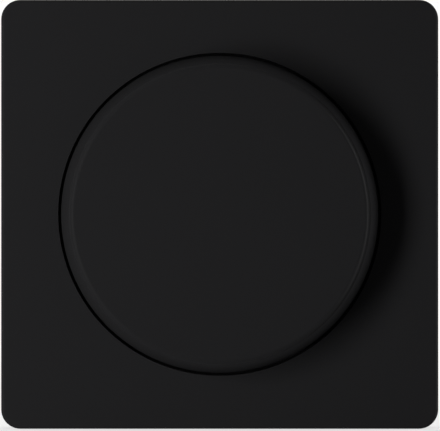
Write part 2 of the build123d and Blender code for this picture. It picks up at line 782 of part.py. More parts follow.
# Its cooling tab and three legs, which bend down to the circuit board
with BuildPart() as triac_leadframe:
    with BuildSketch(wall_plane(-pad_thickness - tab_thickness)):
        with Locations((tab_end, triac_z)):
            Rectangle(tab_length, triac_width, align=(Align.MIN, Align.CENTER))
        with Locations((rivet_x, triac_z)):
            Circle(rivet_radius + fit_gap, mode=Mode.SUBTRACT)
    extrude(amount=tab_thickness)
    leg_level = -pad_thickness - 0.6 * triac_height
    leg_sheet = leg_width / 2
    for x, z in leg_places:
        with BuildSketch(section_plane(0, z)):
            with BuildLine():
                leg = [(triac_end, leg_level), (x + leg_sheet, leg_level), (x + leg_sheet, pcb_back)]
                leg += [(x, pcb_back), (x, leg_level - leg_sheet), (triac_end, leg_level - leg_sheet)]
                Polyline(*leg, close=True)
            make_face()
        extrude(amount=leg_width / 2, both=True)

# Rivet that presses the tab against the ring
with BuildPart() as triac_rivet:
    tab_back = -pad_thickness - tab_thickness
    rivet_top = ring_thickness + rivet_head_height
    rivet = [(0, rivet_top), (rivet_head_radius / 2, rivet_top)]
    rivet += [(rivet_head_radius, ring_thickness), (rivet_radius, ring_thickness), (rivet_radius, tab_back)]
    rivet += [(rivet_head_radius * 0.9, tab_back), (rivet_head_radius / 2, tab_back - rivet_head_height)]
    rivet += [(0, tab_back - rivet_head_height)]
    revolve(half_section(rivet, rivet_x, triac_z), axis=axis_at(rivet_x, triac_z))

# Ring core of the interference choke
with BuildPart() as choke_core:
    core = tube_section(choke_inner, choke_outer, choke_base, choke_base + choke_height, 0, choke_z)
    revolve(core, axis=axis_at(0, choke_z))

# Winding of the choke: a thin sleeve around the core with one ridge for each turn of wire
with BuildPart() as choke_winding:
    core_width = choke_outer - choke_inner
    core_middle = (choke_outer + choke_inner) / 2
    wrap = winding_gap + winding_sleeve
    sleeve_top = choke_base + choke_height + wrap
    sleeve_low = choke_base - wrap
    wound = tube_section(choke_inner - wrap, choke_outer + wrap, sleeve_low, sleeve_top, 0, choke_z)
    revolve(wound, axis=axis_at(0, choke_z))
    for i in range(winding_turns):
        turn = 360 / winding_turns * i
        direction = (cos(radians(turn)), 0, sin(radians(turn)))
        normal = (sin(radians(turn)), 0, -cos(radians(turn)))
        with BuildSketch(Plane(origin=(0, 0, choke_z), x_dir=direction, z_dir=normal)):
            with Locations((core_middle, choke_base + choke_height / 2)):
                RectangleRounded(core_width + 2 * choke_wrap, choke_height + 2 * choke_wrap, choke_wrap)
        extrude(amount=winding_wire / 2, both=True)
    room_low = choke_base - winding_gap
    room_high = choke_base + choke_height + winding_gap
    room = tube_section(choke_inner - winding_gap, choke_outer + winding_gap, room_low, room_high, 0, choke_z)
    revolve(room, axis=axis_at(0, choke_z), mode=Mode.SUBTRACT)

# Glass tube of the fuse
with BuildPart() as fuse_tube:
    glass_length = fuse_length - fuse_cap_length / 2
    with BuildSketch(cross_plane(fuse_x - glass_length / 2)):
        with Locations((fuse_z, fuse_level)):
            Circle(fuse_glass_radius)
            Circle(fuse_glass_radius * 0.7, mode=Mode.SUBTRACT)
    extrude(amount=glass_length)

# End caps of the fuse, joined by its wire
with BuildPart() as fuse_caps:
    for side in (1, -1):
        with BuildSketch(cross_plane(fuse_x + side * fuse_length / 2)):
            with Locations((fuse_z, fuse_level)):
                Circle(fuse_radius)
        extrude(amount=-side * fuse_cap_length)
        with BuildSketch(cross_plane(fuse_x + side * glass_length / 2)):
            with Locations((fuse_z, fuse_level)):
                Circle(fuse_glass_radius + running_gap)
        extrude(amount=-side * fuse_length / 2, mode=Mode.SUBTRACT)
    with BuildSketch(cross_plane(fuse_x)):
        with Locations((fuse_z, fuse_level)):
            Circle(fuse_radius / 10)
    extrude(amount=glass_length / 2 + fuse_cap_length / 10, both=True)

# Two spring clips that hold the fuse
with BuildPart() as fuse_clips:
    for side in (1, -1):
        with BuildSketch(cross_plane(fuse_x + side * (fuse_length - fuse_cap_length) / 2)):
            with Locations((fuse_z, fuse_level)):
                Circle(fuse_radius + running_gap + clip_sheet)
            with Locations((fuse_z, pcb_front)):
                Rectangle(fuse_radius + clip_sheet, fuse_rise, align=(Align.CENTER, Align.MIN))
                foot_width = 2 * (fuse_radius + clip_sheet)
                Rectangle(foot_width, clip_sheet, align=(Align.CENTER, Align.MIN))
            with Locations((fuse_z, fuse_level)):
                Circle(fuse_radius + running_gap, mode=Mode.SUBTRACT)
                Rectangle(fuse_radius, 2 * fuse_radius, align=(Align.CENTER, Align.MIN), mode=Mode.SUBTRACT)
            with Locations((fuse_z, pcb_front + clip_sheet)):
                hollow = (fuse_radius - clip_sheet, fuse_rise - fuse_radius - 3 * clip_sheet)
                Rectangle(*hollow, align=(Align.CENTER, Align.MIN), mode=Mode.SUBTRACT)
        extrude(amount=clip_width / 2, both=True)

# Film capacitor with two leads
with BuildPart() as film_capacitor:
    with BuildSketch(wall_plane(pcb_front)):
        with Locations((0, film_z)):
            RectangleRounded(film_width, film_thickness, 0.8)
    extrude(amount=film_height)
    fillet(film_capacitor.faces().sort_by(Axis.Y)[0].edges(), 0.5)
    with BuildSketch(wall_plane(pcb_back)):
        with Locations(*film_leads):
            Circle(lead_radius)
    extrude(amount=pcb_thickness)

# Smoothing capacitor: a round can with a crimped neck
with BuildPart() as smoothing_capacitor:
    neck = pcb_front + smooth_height / 5
    crimp = smooth_radius / 10
    barrel = [(0, pcb_front), (smooth_radius, pcb_front), (smooth_radius, neck - crimp)]
    barrel += [(smooth_radius - crimp, neck), (smooth_radius, neck + crimp)]
    barrel += [(smooth_radius, pcb_front + smooth_height - crimp)]
    barrel += [(smooth_radius - crimp, pcb_front + smooth_height), (0, pcb_front + smooth_height)]
    revolve(half_section(barrel, smooth_x, 0), axis=axis_at(smooth_x, 0))
    with BuildSketch(wall_plane(pcb_back)):
        with Locations(*smooth_leads):
            Circle(lead_radius)
    extrude(amount=pcb_thickness)

# Four resistors lying on the board, each with its two leads
with BuildPart() as resistors:
    resistor_level = pcb_front + resistor_radius + fit_gap
    for x, z in resistor_places:
        with BuildSketch(cross_plane(x)):
            with Locations((z, resistor_level)):
                Circle(resistor_radius)
        extrude(amount=resistor_length / 2, both=True)
        with BuildSketch(cross_plane(x)):
            with Locations((z, resistor_level)):
                Circle(lead_radius)
        extrude(amount=resistor_lead_pitch / 2 + lead_radius, both=True)
    with BuildSketch(wall_plane(pcb_back)):
        with Locations(*resistor_leads):
            Circle(lead_radius)
    extrude(amount=resistor_level - pcb_back)

# Trimmer for the lowest brightness
with BuildPart() as trimmer_body:
    journal = trimmer_height / 2
    with BuildSketch(wall_plane(pcb_front)):
        with Locations((trimmer_x, 0)):
            RectangleRounded(trimmer_size, trimmer_size, 0.6)
    extrude(amount=trimmer_height)
    with BuildSketch(wall_plane(trimmer_top - journal)):
        with Locations((trimmer_x, 0)):
            Circle(journal_radius + running_gap)
    extrude(amount=journal, mode=Mode.SUBTRACT)

# Its adjuster, which reaches through the lid and the ring to a screwdriver slot
with BuildPart() as trimmer_adjuster:
    adjuster_top = 0.75 * ring_thickness
    stalk = [(0, adjuster_top), (adjuster_radius, adjuster_top), (adjuster_radius, can_front - fit_gap)]
    stalk += [(1.5 * adjuster_radius, can_front - fit_gap), (1.5 * adjuster_radius, can_front - 1 - fit_gap)]
    stalk += [(adjuster_radius, can_front - 1 - fit_gap), (adjuster_radius, trimmer_top + running_gap)]
    stalk += [(journal_radius, trimmer_top + running_gap), (journal_radius, trimmer_top - 0.9 * journal)]
    stalk += [(0, trimmer_top - 0.9 * journal)]
    revolve(half_section(stalk, trimmer_x, 0), axis=axis_at(trimmer_x, 0))
    with BuildSketch(wall_plane(adjuster_top)):
        with Locations((trimmer_x, 0)):
            Rectangle(3 * adjuster_radius, adjuster_slot)
    extrude(amount=-adjuster_slot, mode=Mode.SUBTRACT)

# Terminal block: wires go in from below, and the clamp screws face the rear
with BuildPart() as terminal_block:
    block_width = pole_count * pole_pitch
    with BuildSketch(wall_plane(block_back)):
        with Locations((0, -block_mouth)):
            Rectangle(block_width, block_depth, align=(Align.CENTER, Align.MIN))
    extrude(amount=block_height)
    chamfer(terminal_block.faces().sort_by(Axis.Y)[-1].edges(), block_wall / 2)
    with BuildSketch(wall_plane(cage_back - cage_gap)):
        with Locations(*pole_places):
            Rectangle(cage_width + 2 * cage_gap, cage_depth + 2 * cage_gap)
    extrude(amount=pcb_back - cage_back + cage_gap, mode=Mode.SUBTRACT)
    with BuildSketch(wall_plane(block_back)):
        with Locations(*pole_places):
            Circle(clamp_head_radius + fit_gap)
    extrude(amount=clamp_seat - block_back, mode=Mode.SUBTRACT)
    with BuildSketch(wall_plane(clamp_seat)):
        with Locations(*pole_places):
            Circle(clamp_screw_radius + fit_gap)
    extrude(amount=block_wall, mode=Mode.SUBTRACT)
    for x, z in pole_places:
        mouth = [(0, 0), (wire_hole_radius + wire_funnel, 0), (wire_hole_radius, wire_funnel)]
        mouth += [(wire_hole_radius, wire_hole_length + wire_funnel), (0, wire_hole_length + wire_funnel)]
        mouth_origin = (x, -wire_level, -block_mouth)
        with BuildSketch(Plane(origin=mouth_origin, x_dir=(1, 0, 0), z_dir=(0, -1, 0))):
            with BuildLine():
                Polyline(*mouth, close=True)
            make_face()
        revolve(axis=Axis(mouth_origin, (0, 0, 1)), mode=Mode.SUBTRACT)
    with BuildSketch(wall_plane(block_back)):
        for i in range(1, pole_count):
            with Locations(((i - pole_count / 2) * pole_pitch, -block_mouth)):
                Rectangle(block_wall, block_depth, align=(Align.CENTER, Align.MIN))
    extrude(amount=block_wall, mode=Mode.SUBTRACT)

# Three cages that clamp the wires, each with a pin to the circuit board
with BuildPart() as terminal_cages:
    for x, z in pole_places:
        with BuildSketch(level_plane(z)):
            with Locations((x, -(cage_front + cage_back) / 2)):
                RectangleRounded(cage_width, cage_height, cage_sheet / 2)
                window = (cage_width - 2 * cage_sheet, cage_height - 2.5 * cage_sheet)
                with Locations((0, -cage_sheet / 4)):
                    Rectangle(*window, mode=Mode.SUBTRACT)
        extrude(amount=cage_depth / 2, both=True)
    with BuildSketch(wall_plane(cage_back)):
        with Locations(*pole_places):
            Circle(clamp_screw_radius + running_gap)
    extrude(amount=2 * cage_sheet, mode=Mode.SUBTRACT)
    with BuildSketch(wall_plane(cage_front - cage_sheet / 2)):
        with Locations(*pole_places):
            Rectangle(cage_sheet, cage_sheet)
    extrude(amount=pcb_front - cage_front + cage_sheet / 2)

# Three clamp screws
with BuildPart() as terminal_screws:
    for x, z in pole_places:
        blank = screw_section(
            x, z, clamp_seat, -1, clamp_screw_length, clamp_screw_radius, clamp_head_radius, clamp_head_height
        )
        revolve(blank, axis=axis_at(x, z))
        with BuildSketch(wall_plane(clamp_seat - clamp_head_height)):
            with Locations((x, z)):
                Rectangle(3 * clamp_head_radius, clamp_screw_radius / 2)
        extrude(amount=clamp_head_height / 2, mode=Mode.SUBTRACT)


def claw(side):
    """Spreading claw with a threaded collar and a toothed arm; side is 1 on the right and -1 on the left."""
    foot_front = -claw_rest
    foot_back = foot_front - claw_sheet
    with BuildPart() as piece:
        with BuildSketch(section_plane(0, side * claw_z, side)):
            with Locations((claw_inner, foot_back)):
                Rectangle(claw_bend - claw_inner, claw_sheet, align=MIN_CORNER)
            with Locations(Location((claw_bend, foot_front - claw_sheet / 2), (0, 0, claw_arm_lean))):
                Rectangle(claw_sheet, claw_arm, align=(Align.CENTER, Align.MAX))
                Circle(claw_sheet / 2)
        extrude(amount=claw_width / 2, both=True)
        with BuildSketch(wall_plane(foot_back)):
            with Locations((side * claw_x, side * claw_z)):
                Circle(claw_collar_radius)
        extrude(amount=-claw_collar_height)
        with BuildSketch(wall_plane(foot_front)):
            with Locations((side * claw_x, side * claw_z)):
                Circle(claw_screw_radius + running_gap)
        extrude(amount=-claw_sheet - claw_collar_height, mode=Mode.SUBTRACT)
        tip = foot_front - claw_sheet / 2 - claw_arm * cos(radians(claw_arm_lean)) - claw_sheet / 4
        tooth_pitch = claw_width / claw_teeth
        with BuildSketch(cross_plane(side * claw_bend)):
            with Locations((side * claw_z, tip)):
                with GridLocations(tooth_pitch, 0, claw_teeth, 1):
                    with BuildLine():
                        notch = tooth_pitch / 3
                        Polyline((-notch, 0), (notch, 0), (0, 1.5 * claw_tooth), close=True)
                    make_face()
        extrude(amount=side * claw_arm, mode=Mode.SUBTRACT)
    return piece


def claw_screw(side):
    """Screw of a claw: the cone under its head lets it lean in the slot of the ring."""
    x = side * claw_x
    z = side * claw_z
    cone_top = claw_pivot + claw_head_cone
    top = claw_pivot + claw_head_height
    end = claw_pivot - claw_screw_length
    core = claw_screw_radius - claw_thread_depth
    with BuildPart() as piece:
        outline = [(0, top), (claw_head_radius, top), (claw_head_radius, cone_top)]
        outline += [(claw_screw_radius, claw_pivot), (claw_screw_radius, claw_pivot - claw_neck)]
        outline += [(core, claw_pivot - claw_neck - claw_thread_depth), (core, end + core / 2)]
        outline += [(core / 2, end), (0, end)]
        revolve(half_section(outline, x, z), axis=axis_at(x, z))
        with BuildSketch(wall_plane(top)):
            with Locations((x, z)):
                draw_cross(0.65 * claw_head_radius, 0.3 * claw_head_radius)
        extrude(amount=-0.7 * claw_head_height, mode=Mode.SUBTRACT)
    return piece


right_claw = claw(1)
left_claw = claw(-1)
right_claw_screw = claw_screw(1)
left_claw_screw = claw_screw(-1)

pieces = {
    "cover_plate": cover_plate,
    "knob": knob,
    "knob_ring": knob_ring,
    "plate_nut": plate_nut,
    "support_ring": support_ring,
    "housing": housing,
    "insert_lid": insert_lid,
    "housing_screws": housing_screws,
    "spindle": spindle,
    "bush": bush,
    "pot_nut": pot_nut,
    "lock_washer": lock_washer,
    "pot_can": pot_can,
    "wiper_rotor": wiper_rotor,
    "wiper_contact": wiper_contact,
    "track_board": track_board,
    "resistive_track": resistive_track,
    "pot_pins": pot_pins,
    "switch_case": switch_case,
    "switch_plunger": switch_plunger,
    "contact_bridge": contact_bridge,
    "switch_contacts": switch_contacts,
    "return_spring": return_spring,
    "circuit_board": circuit_board,
    "triac_pad": triac_pad,
    "triac_body": triac_body,
    "triac_leadframe": triac_leadframe,
    "triac_rivet": triac_rivet,
    "choke_core": choke_core,
    "choke_winding": choke_winding,
    "fuse_tube": fuse_tube,
    "fuse_caps": fuse_caps,
    "fuse_clips": fuse_clips,
    "film_capacitor": film_capacitor,
    "smoothing_capacitor": smoothing_capacitor,
    "resistors": resistors,
    "trimmer_body": trimmer_body,
    "trimmer_adjuster": trimmer_adjuster,
    "terminal_block": terminal_block,
    "terminal_cages": terminal_cages,
    "terminal_screws": terminal_screws,
    "left_claw": left_claw,
    "right_claw": right_claw,
    "left_claw_screw": left_claw_screw,
    "right_claw_screw": right_claw_screw,
}

os.makedirs("parts", exist_ok=True)
for name, piece in pieces.items():
    piece.part.label = name
    export_step(piece.part, f"parts/{name}.step")
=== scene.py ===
"""Looks of a push-and-turn wall dimmer: finishes, screw threads, a return coil and a studio."""

import json
import math

import bpy
import numpy as np
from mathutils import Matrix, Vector


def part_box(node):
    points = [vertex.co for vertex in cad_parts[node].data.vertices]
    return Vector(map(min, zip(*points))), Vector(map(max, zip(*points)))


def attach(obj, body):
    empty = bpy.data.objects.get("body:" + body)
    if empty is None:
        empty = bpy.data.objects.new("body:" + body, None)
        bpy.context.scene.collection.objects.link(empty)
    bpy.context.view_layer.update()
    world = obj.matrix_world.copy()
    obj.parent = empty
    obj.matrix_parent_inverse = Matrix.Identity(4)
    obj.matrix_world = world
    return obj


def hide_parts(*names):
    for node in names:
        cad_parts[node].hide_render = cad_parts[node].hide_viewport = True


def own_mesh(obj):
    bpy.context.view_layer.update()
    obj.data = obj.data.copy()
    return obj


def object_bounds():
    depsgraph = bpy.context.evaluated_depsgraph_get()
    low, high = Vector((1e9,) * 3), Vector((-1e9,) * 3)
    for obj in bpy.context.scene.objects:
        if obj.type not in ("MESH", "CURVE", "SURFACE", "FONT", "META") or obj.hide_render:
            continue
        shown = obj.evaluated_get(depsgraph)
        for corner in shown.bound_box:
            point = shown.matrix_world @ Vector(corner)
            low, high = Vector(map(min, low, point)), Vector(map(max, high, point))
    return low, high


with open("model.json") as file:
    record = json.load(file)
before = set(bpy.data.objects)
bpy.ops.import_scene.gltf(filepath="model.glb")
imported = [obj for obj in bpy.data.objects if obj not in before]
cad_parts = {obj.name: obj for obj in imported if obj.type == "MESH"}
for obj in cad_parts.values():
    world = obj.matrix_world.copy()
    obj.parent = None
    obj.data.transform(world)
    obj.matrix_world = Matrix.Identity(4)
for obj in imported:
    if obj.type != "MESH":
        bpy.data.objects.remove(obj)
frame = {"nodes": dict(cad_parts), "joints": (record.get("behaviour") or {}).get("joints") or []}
cad_low, cad_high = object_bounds()

bl_info = {
    "name": "Wall dimmer",
    "version": (1, 0, 0),
    "blender": (4, 5, 0),
    "location": "View3D > Sidebar > Dimmer",
    "description": "Finishes, screw threads, return spring and studio for a push-and-turn dimmer",
    "category": "Object",
}

MM = 0.001
NODES = frame["nodes"]
FRONT_PIECES = ("cover_plate", "knob")

# The photograph's frame in pixels, and the camera's sensor in millimetres
IMAGE_WIDTH = 440
IMAGE_HEIGHT = 431
SENSOR = 36.0

# Places and sizes of the solids, in metres
PLATE_FRONT = -10.5 * MM
SHAFT_AXIS = (0.0, 0.0)
HOUSING_SCREW_HEAD = 2.4 * MM
TERMINAL_PITCH = 7.5 * MM
RESISTOR_MIDDLE = 13.5 * MM
RESISTOR_HALF = 3.0 * MM

# Rings of a resistor: their width, and for each its place as a share of half the body, and colour
BAND_WIDTH = 0.55 * MM
BANDS = (
    (-0.62, (0.16, 0.06, 0.02)),
    (-0.25, (0.01, 0.01, 0.01)),
    (0.12, (0.5, 0.03, 0.02)),
    (0.62, (0.55, 0.38, 0.1)),
)

# Lumps to the metre along X, Y and Z, which draw noise out into streaks
STREAKS_ALONG_X = (40.0, 400.0, 1800.0)
STREAKS_ROUND_Y = (400.0, 1800.0, 400.0)
STREAKS_ALONG_Z = (1500.0, 400.0, 60.0)
PAPER_FIBRES = (900.0, 900.0, 4200.0)

# Share of the zinc's colour in its second tone, and roughness of a zinc plated screw
ZINC_SHADE = 0.58
SCREW_ROUGHNESS = 0.34

# Pitch of the glass threads in the circuit board and in the insulating pad
BOARD_WEAVE = 0.6 * MM
PAD_WEAVE = 0.7 * MM

# Copper areas of the circuit board: areas to the metre, and the gap between two as a share of one
COPPER_AREAS = 170.0
COPPER_GAP = 0.07

# Flanks of a thread: places along the pitch, and the share of the tooth's height at each
TOOTH_PLACES = np.array([0.0, 0.2, 0.43, 0.57, 0.8])
TOOTH_HEIGHTS = np.array([0.0, 0.0, 1.0, 1.0, 0.0])

# The world is dim in front and brighter behind: Y of the directions where this starts and ends
DIM_EDGE = -0.1
BRIGHT_EDGE = 0.2

# Floor: half its width, the ring in which it turns to plain white, the share of white inside that
# ring, and the share of its colour that lights the object
FLOOR_REACH = 4.0
WHITE_START = 0.05
WHITE_END = 0.6
WHITE_SHARE = 0.68
FLOOR_DIM = 0.3

# Lamps: name, place, width, height, the setting that gives the power, and its share of that
LAMPS = (
    ("key_lamp", (-0.284, -0.335, -0.018), 0.12, 0.33, "key", 1.0),
    ("right_lamp", (0.7, 0.17, 0.0), 0.36, 0.4, "fill", 1.0),
    ("top_lamp", (0.0, 0.17, 0.7), 0.4, 0.36, "fill", 0.5),
    ("low_lamp", (0.0, 0.17, -0.7), 0.4, 0.36, "fill", 0.6),
    ("sheen_lamp", (0.56, -0.37, 0.03), 0.2, 0.8, "sheen", 1.0),
    ("rear_left_lamp", (-0.5, 0.6, 0.35), 0.3, 0.3, "rear", 1.0),
    ("rear_right_lamp", (0.55, 0.55, 0.3), 0.3, 0.3, "rear", 1.0),
)
FILL_LAMPS = ("right_lamp", "top_lamp", "low_lamp")


# ---------------------------------------------------------------- node trees


class Value:
    """A value in a node tree. Arithmetic on it adds Math nodes."""

    def __init__(self, tree, socket):
        self.tree = tree
        self.socket = socket

    def __add__(self, other):
        return self.tree.math("ADD", self, other)

    __radd__ = __add__

    def __sub__(self, other):
        return self.tree.math("SUBTRACT", self, other)

    def __rsub__(self, other):
        return self.tree.math("SUBTRACT", other, self)

    def __mul__(self, other):
        return self.tree.math("MULTIPLY", self, other)

    __rmul__ = __mul__

    def __lt__(self, other):
        return self.tree.math("LESS_THAN", self, other)

    def __gt__(self, other):
        return self.tree.math("GREATER_THAN", self, other)

    def __abs__(self):
        return self.tree.math("ABSOLUTE", self)


class Tree:
    """A node tree being filled: it adds nodes and gives back their values."""

    def __init__(self, owner):
        owner.use_nodes = True
        self.nodes = owner.node_tree.nodes
        self.links = owner.node_tree.links
        self.nodes.clear()

    def node(self, kind, settings=None, inputs=None, output=0):
        """Adds one node: its settings first, then the values or links of its sockets."""
        made = self.nodes.new(kind)
        for key, value in (settings or {}).items():
            setattr(made, key, value)
        for key, value in (inputs or {}).items():
            if isinstance(value, Value):
                self.links.new(value.socket, made.inputs[key])
            else:
                made.inputs[key].default_value = value
        return Value(self, made.outputs[output]) if len(made.outputs) else None

    def math(self, operation, *terms):
        """One Math node on values or numbers."""
        return self.node("ShaderNodeMath", {"operation": operation}, dict(enumerate(terms)))

    def wave(self, along, pitch):
        """A sine between -1 and 1 that repeats at this pitch."""
        return self.math("SINE", along * (2 * math.pi / pitch))

    def away(self, across, up):
        """Distance from the point where both numbers are 0."""
        return self.math("SQRT", across * across + up * up)

    def ease(self, along, start, end, low, high):
        """A level that passes smoothly from low at the start to high at the end."""
        span = {"From Min": start, "From Max": end, "To Min": low, "To Max": high}
        settings = {"interpolation_type": "SMOOTHSTEP"}
        return self.node("ShaderNodeMapRange", settings, {"Value": along, **span})

    def place(self, stretch=None):
        """Object coordinates in metres, multiplied along each axis where a stretch is given."""
        spot = self.node("ShaderNodeTexCoord", output="Object")
        if stretch is None:
            return spot
        return self.node("ShaderNodeMapping", None, {"Vector": spot, "Scale": stretch})

    def axes(self):
        """X, Y and Z of the object coordinates, in metres."""
        spot = self.place()
        return [self.node("ShaderNodeSeparateXYZ", None, {0: spot}, output=axis) for axis in "XYZ"]

    def noise(self, per_metre=1.0, detail=2.0, roughness=0.5, stretch=None):
        """Soft noise between 0 and 1 with this many lumps to the metre, times the stretch."""
        spot = self.place(stretch)
        inputs = {"Vector": spot, "Scale": per_metre, "Detail": detail, "Roughness": roughness}
        return self.node("ShaderNodeTexNoise", None, inputs)

    def lines(self, along, per_metre):
        """Noise of one number: fine lines where the number is the same."""
        inputs = {"W": along, "Scale": per_metre, "Detail": 3.0, "Roughness": 0.65}
        return self.node("ShaderNodeTexNoise", {"noise_dimensions": "1D"}, inputs)

    def cells(self, per_metre):
        """A random level in each of many small cells."""
        inputs = {"Vector": self.place(), "Scale": per_metre}
        colour = self.node("ShaderNodeTexVoronoi", None, inputs, output="Color")
        return self.node("ShaderNodeSeparateXYZ", None, {0: colour}, output="X")

    def tones(self, first, second, share):
        """Colour between two others, by a share from 0 to 1."""
        inputs = {0: share, 6: rgba(first), 7: rgba(second)}
        return self.node("ShaderNodeMix", {"data_type": "RGBA"}, inputs, output=2)

    def bump(self, height, relief):
        """Normal of a skin whose height of 0 to 1 stands this many metres high."""
        inputs = {"Strength": 1.0, "Distance": relief, "Height": height}
        return self.node("ShaderNodeBump", None, inputs)

    def seen(self):
        """1 where the ray comes from the camera, a reflection or glass, and 0 elsewhere."""
        kinds = ("Is Camera Ray", "Is Glossy Ray", "Is Transmission Ray")
        rays = [self.node("ShaderNodeLightPath", output=kind) for kind in kinds]
        return self.math("MINIMUM", rays[0] + rays[1] + rays[2], 1.0)

    def skin(self, tone, roughness, normal, settings=None):
        """Ends the tree in a Principled surface."""
        inputs = {"Base Color": tone, "Roughness": roughness, "Normal": normal}
        inputs.update(settings or {})
        shader = self.node("ShaderNodeBsdfPrincipled", None, inputs)
        self.node("ShaderNodeOutputMaterial", None, {"Surface": shader})


def rgba(colour):
    """A colour with full opacity. One that is a value in a tree stays as it is."""
    return colour if isinstance(colour, Value) else (*colour, 1.0)


def darker(colour, share):
    """The colour multiplied by a share."""
    return tuple(share * part for part in colour)


def new_finish(name):
    """An empty material and its tree."""
    material = bpy.data.materials.new(name)
    return material, Tree(material)


# ---------------------------------------------------------------- finishes


def moulded_plastic(name, colour, shade, roughness, grain, relief, gloss):
    """Moulded plastic: two close tones drift over centimetres, and a grain dimples the skin."""
    material, tree = new_finish(name)
    drift = tree.noise(per_metre=70.0)
    dimple = tree.noise(per_metre=1.0 / grain, detail=3.0, roughness=0.6)
    tone = tree.tones(colour, shade, 0.6 * drift + 0.4 * dimple)
    rough = roughness - 0.07 + 0.14 * dimple
    tree.skin(tone, rough, tree.bump(dimple, relief), {"Specular IOR Level": gloss})
    return material


def rolled_metal(name, colour, shade, roughness, stretch):
    """Rolled sheet: streaks along the rolling direction, faint plating cells and cloudy stains."""
    material, tree = new_finish(name)
    streak = tree.noise(detail=4.0, roughness=0.6, stretch=stretch)
    crystal = tree.cells(per_metre=900.0)
    stain = tree.noise(per_metre=90.0, detail=3.0)
    share = 1.2 * streak + 0.2 * crystal + 1.2 * stain - 0.8
    tone = tree.tones(colour, shade, tree.math("MAXIMUM", share, 0.0))
    rough = roughness - 0.1 + 0.12 * streak + 0.16 * stain
    height = 0.7 * streak + 0.3 * crystal
    tree.skin(tone, rough, tree.bump(height, relief=0.004 * MM), {"Metallic": 1.0})
    return material


def turned_metal(name, colour, shade, roughness, centre, pitch=None):
    """Turned metal: fine lines round an axis along Y, which passes through a centre in X and Z.
    Pieces at mirrored places share it, or with a pitch those in a row along X. The lines follow
    the sum of the distance from the axis and the place along it."""
    material, tree = new_finish(name)
    x, y, z = tree.axes()
    if pitch:
        across, up = tree.math("PINGPONG", x, pitch / 2), z - centre[1]
    else:
        across, up = abs(x) - abs(centre[0]), abs(z) - abs(centre[1])
    mark = tree.lines(tree.away(across, up) + y, per_metre=9000.0)
    stain = tree.noise(per_metre=320.0, detail=3.0)
    tone = tree.tones(colour, shade, 0.6 * mark + 0.4 * stain)
    rough = roughness - 0.08 + 0.1 * mark + 0.1 * stain
    tree.skin(tone, rough, tree.bump(mark, relief=0.005 * MM), {"Metallic": 1.0})
    return material


def dipped_metal(name, colour, shade, roughness):
    """Tinned small metal: a cloudy skin with shallow ripples."""
    material, tree = new_finish(name)
    cloud = tree.noise(per_metre=500.0, detail=3.0)
    ripple = tree.noise(per_metre=2400.0)
    tone = tree.tones(colour, shade, 0.7 * cloud + 0.3 * ripple)
    rough = roughness - 0.1 + 0.2 * cloud
    tree.skin(tone, rough, tree.bump(ripple, relief=0.01 * MM), {"Metallic": 1.0})
    return material


def lacquered_board(name, mask, copper):
    """Lacquered laminate: a glass weave, and copper areas that show paler between narrow gaps.
    A gap lies where the two nearest of many scattered points are about as far away, by the larger
    of the distances in X and Z."""
    material, tree = new_finish(name)
    x, _, z = tree.axes()
    weave = 0.5 + 0.25 * tree.wave(x, BOARD_WEAVE) + 0.25 * tree.wave(z, BOARD_WEAVE)
    upright = {"Vector": tree.place(), "Rotation": (math.pi / 2, 0.0, 0.0)}
    spot = tree.node("ShaderNodeMapping", None, upright)
    near, next_near = (
        tree.node(
            "ShaderNodeTexVoronoi",
            {"voronoi_dimensions": "2D", "distance": "CHEBYCHEV", "feature": feature},
            {"Vector": spot, "Scale": COPPER_AREAS, "Randomness": 0.9},
            output="Distance",
        )
        for feature in ("F1", "F2")
    )
    level = next_near - near > COPPER_GAP
    tone = tree.tones(mask, copper, 0.55 * level + 0.25 * weave)
    rough = 0.28 + 0.12 * weave
    tree.skin(tone, rough, tree.bump(0.8 * level + 0.2 * weave, relief=0.03 * MM))
    return material


def paper_laminate(name, colour, shade):
    """Brown paper laminate: fibres in all directions and darker resin clouds."""
    material, tree = new_finish(name)
    fibre = tree.noise(detail=4.0, roughness=0.7, stretch=PAPER_FIBRES)
    cloud = tree.noise(per_metre=220.0, detail=3.0)
    tone = tree.tones(colour, shade, 0.5 * fibre + 0.5 * cloud)
    tree.skin(tone, 0.42 + 0.16 * fibre, tree.bump(fibre, relief=0.008 * MM))
    return material


def printed_carbon(name, colour, shade):
    """Printed carbon film: dull, with paler specks and fine wiping lines round the shaft."""
    material, tree = new_finish(name)
    x, _, z = tree.axes()
    wipe = tree.lines(tree.away(x, z), per_metre=5200.0)
    speck = tree.cells(per_metre=5200.0)
    tone = tree.tones(colour, shade, 0.6 * wipe + 0.4 * speck)
    tree.skin(tone, 0.5 + 0.2 * speck, tree.bump(speck, relief=0.006 * MM))
    return material


def coated_core(name, colour, end_colour, middle, half):
    """Coated powder ring: a grainy coat on the rim, and a paler one on the end that faces +Y."""
    material, tree = new_finish(name)
    _, y, _ = tree.axes()
    pale = y > middle + 0.8 * half
    pit = tree.noise(per_metre=3000.0, detail=3.0, roughness=0.65)
    rim = tree.tones(colour, darker(colour, 0.72), pit)
    end = tree.tones(end_colour, darker(end_colour, 0.8), pit)
    rough = 0.5 + 0.2 * pit
    tree.skin(tree.tones(rim, end, pale), rough, tree.bump(pit, relief=0.03 * MM))
    return material


def enamelled_wire(name, colour, shade):
    """Enamelled copper wire: warm metal under clear enamel, with cloudy tones along the turns."""
    material, tree = new_finish(name)
    cloud = tree.noise(per_metre=420.0, detail=3.0)
    fine = tree.noise(per_metre=3200.0)
    tone = tree.tones(colour, shade, 0.7 * cloud + 0.3 * fine)
    enamel = {"Metallic": 0.85, "Coat Weight": 0.6, "Coat Roughness": 0.08}
    tree.skin(tone, 0.24 + 0.14 * cloud, tree.bump(fine, relief=0.006 * MM), enamel)
    return material


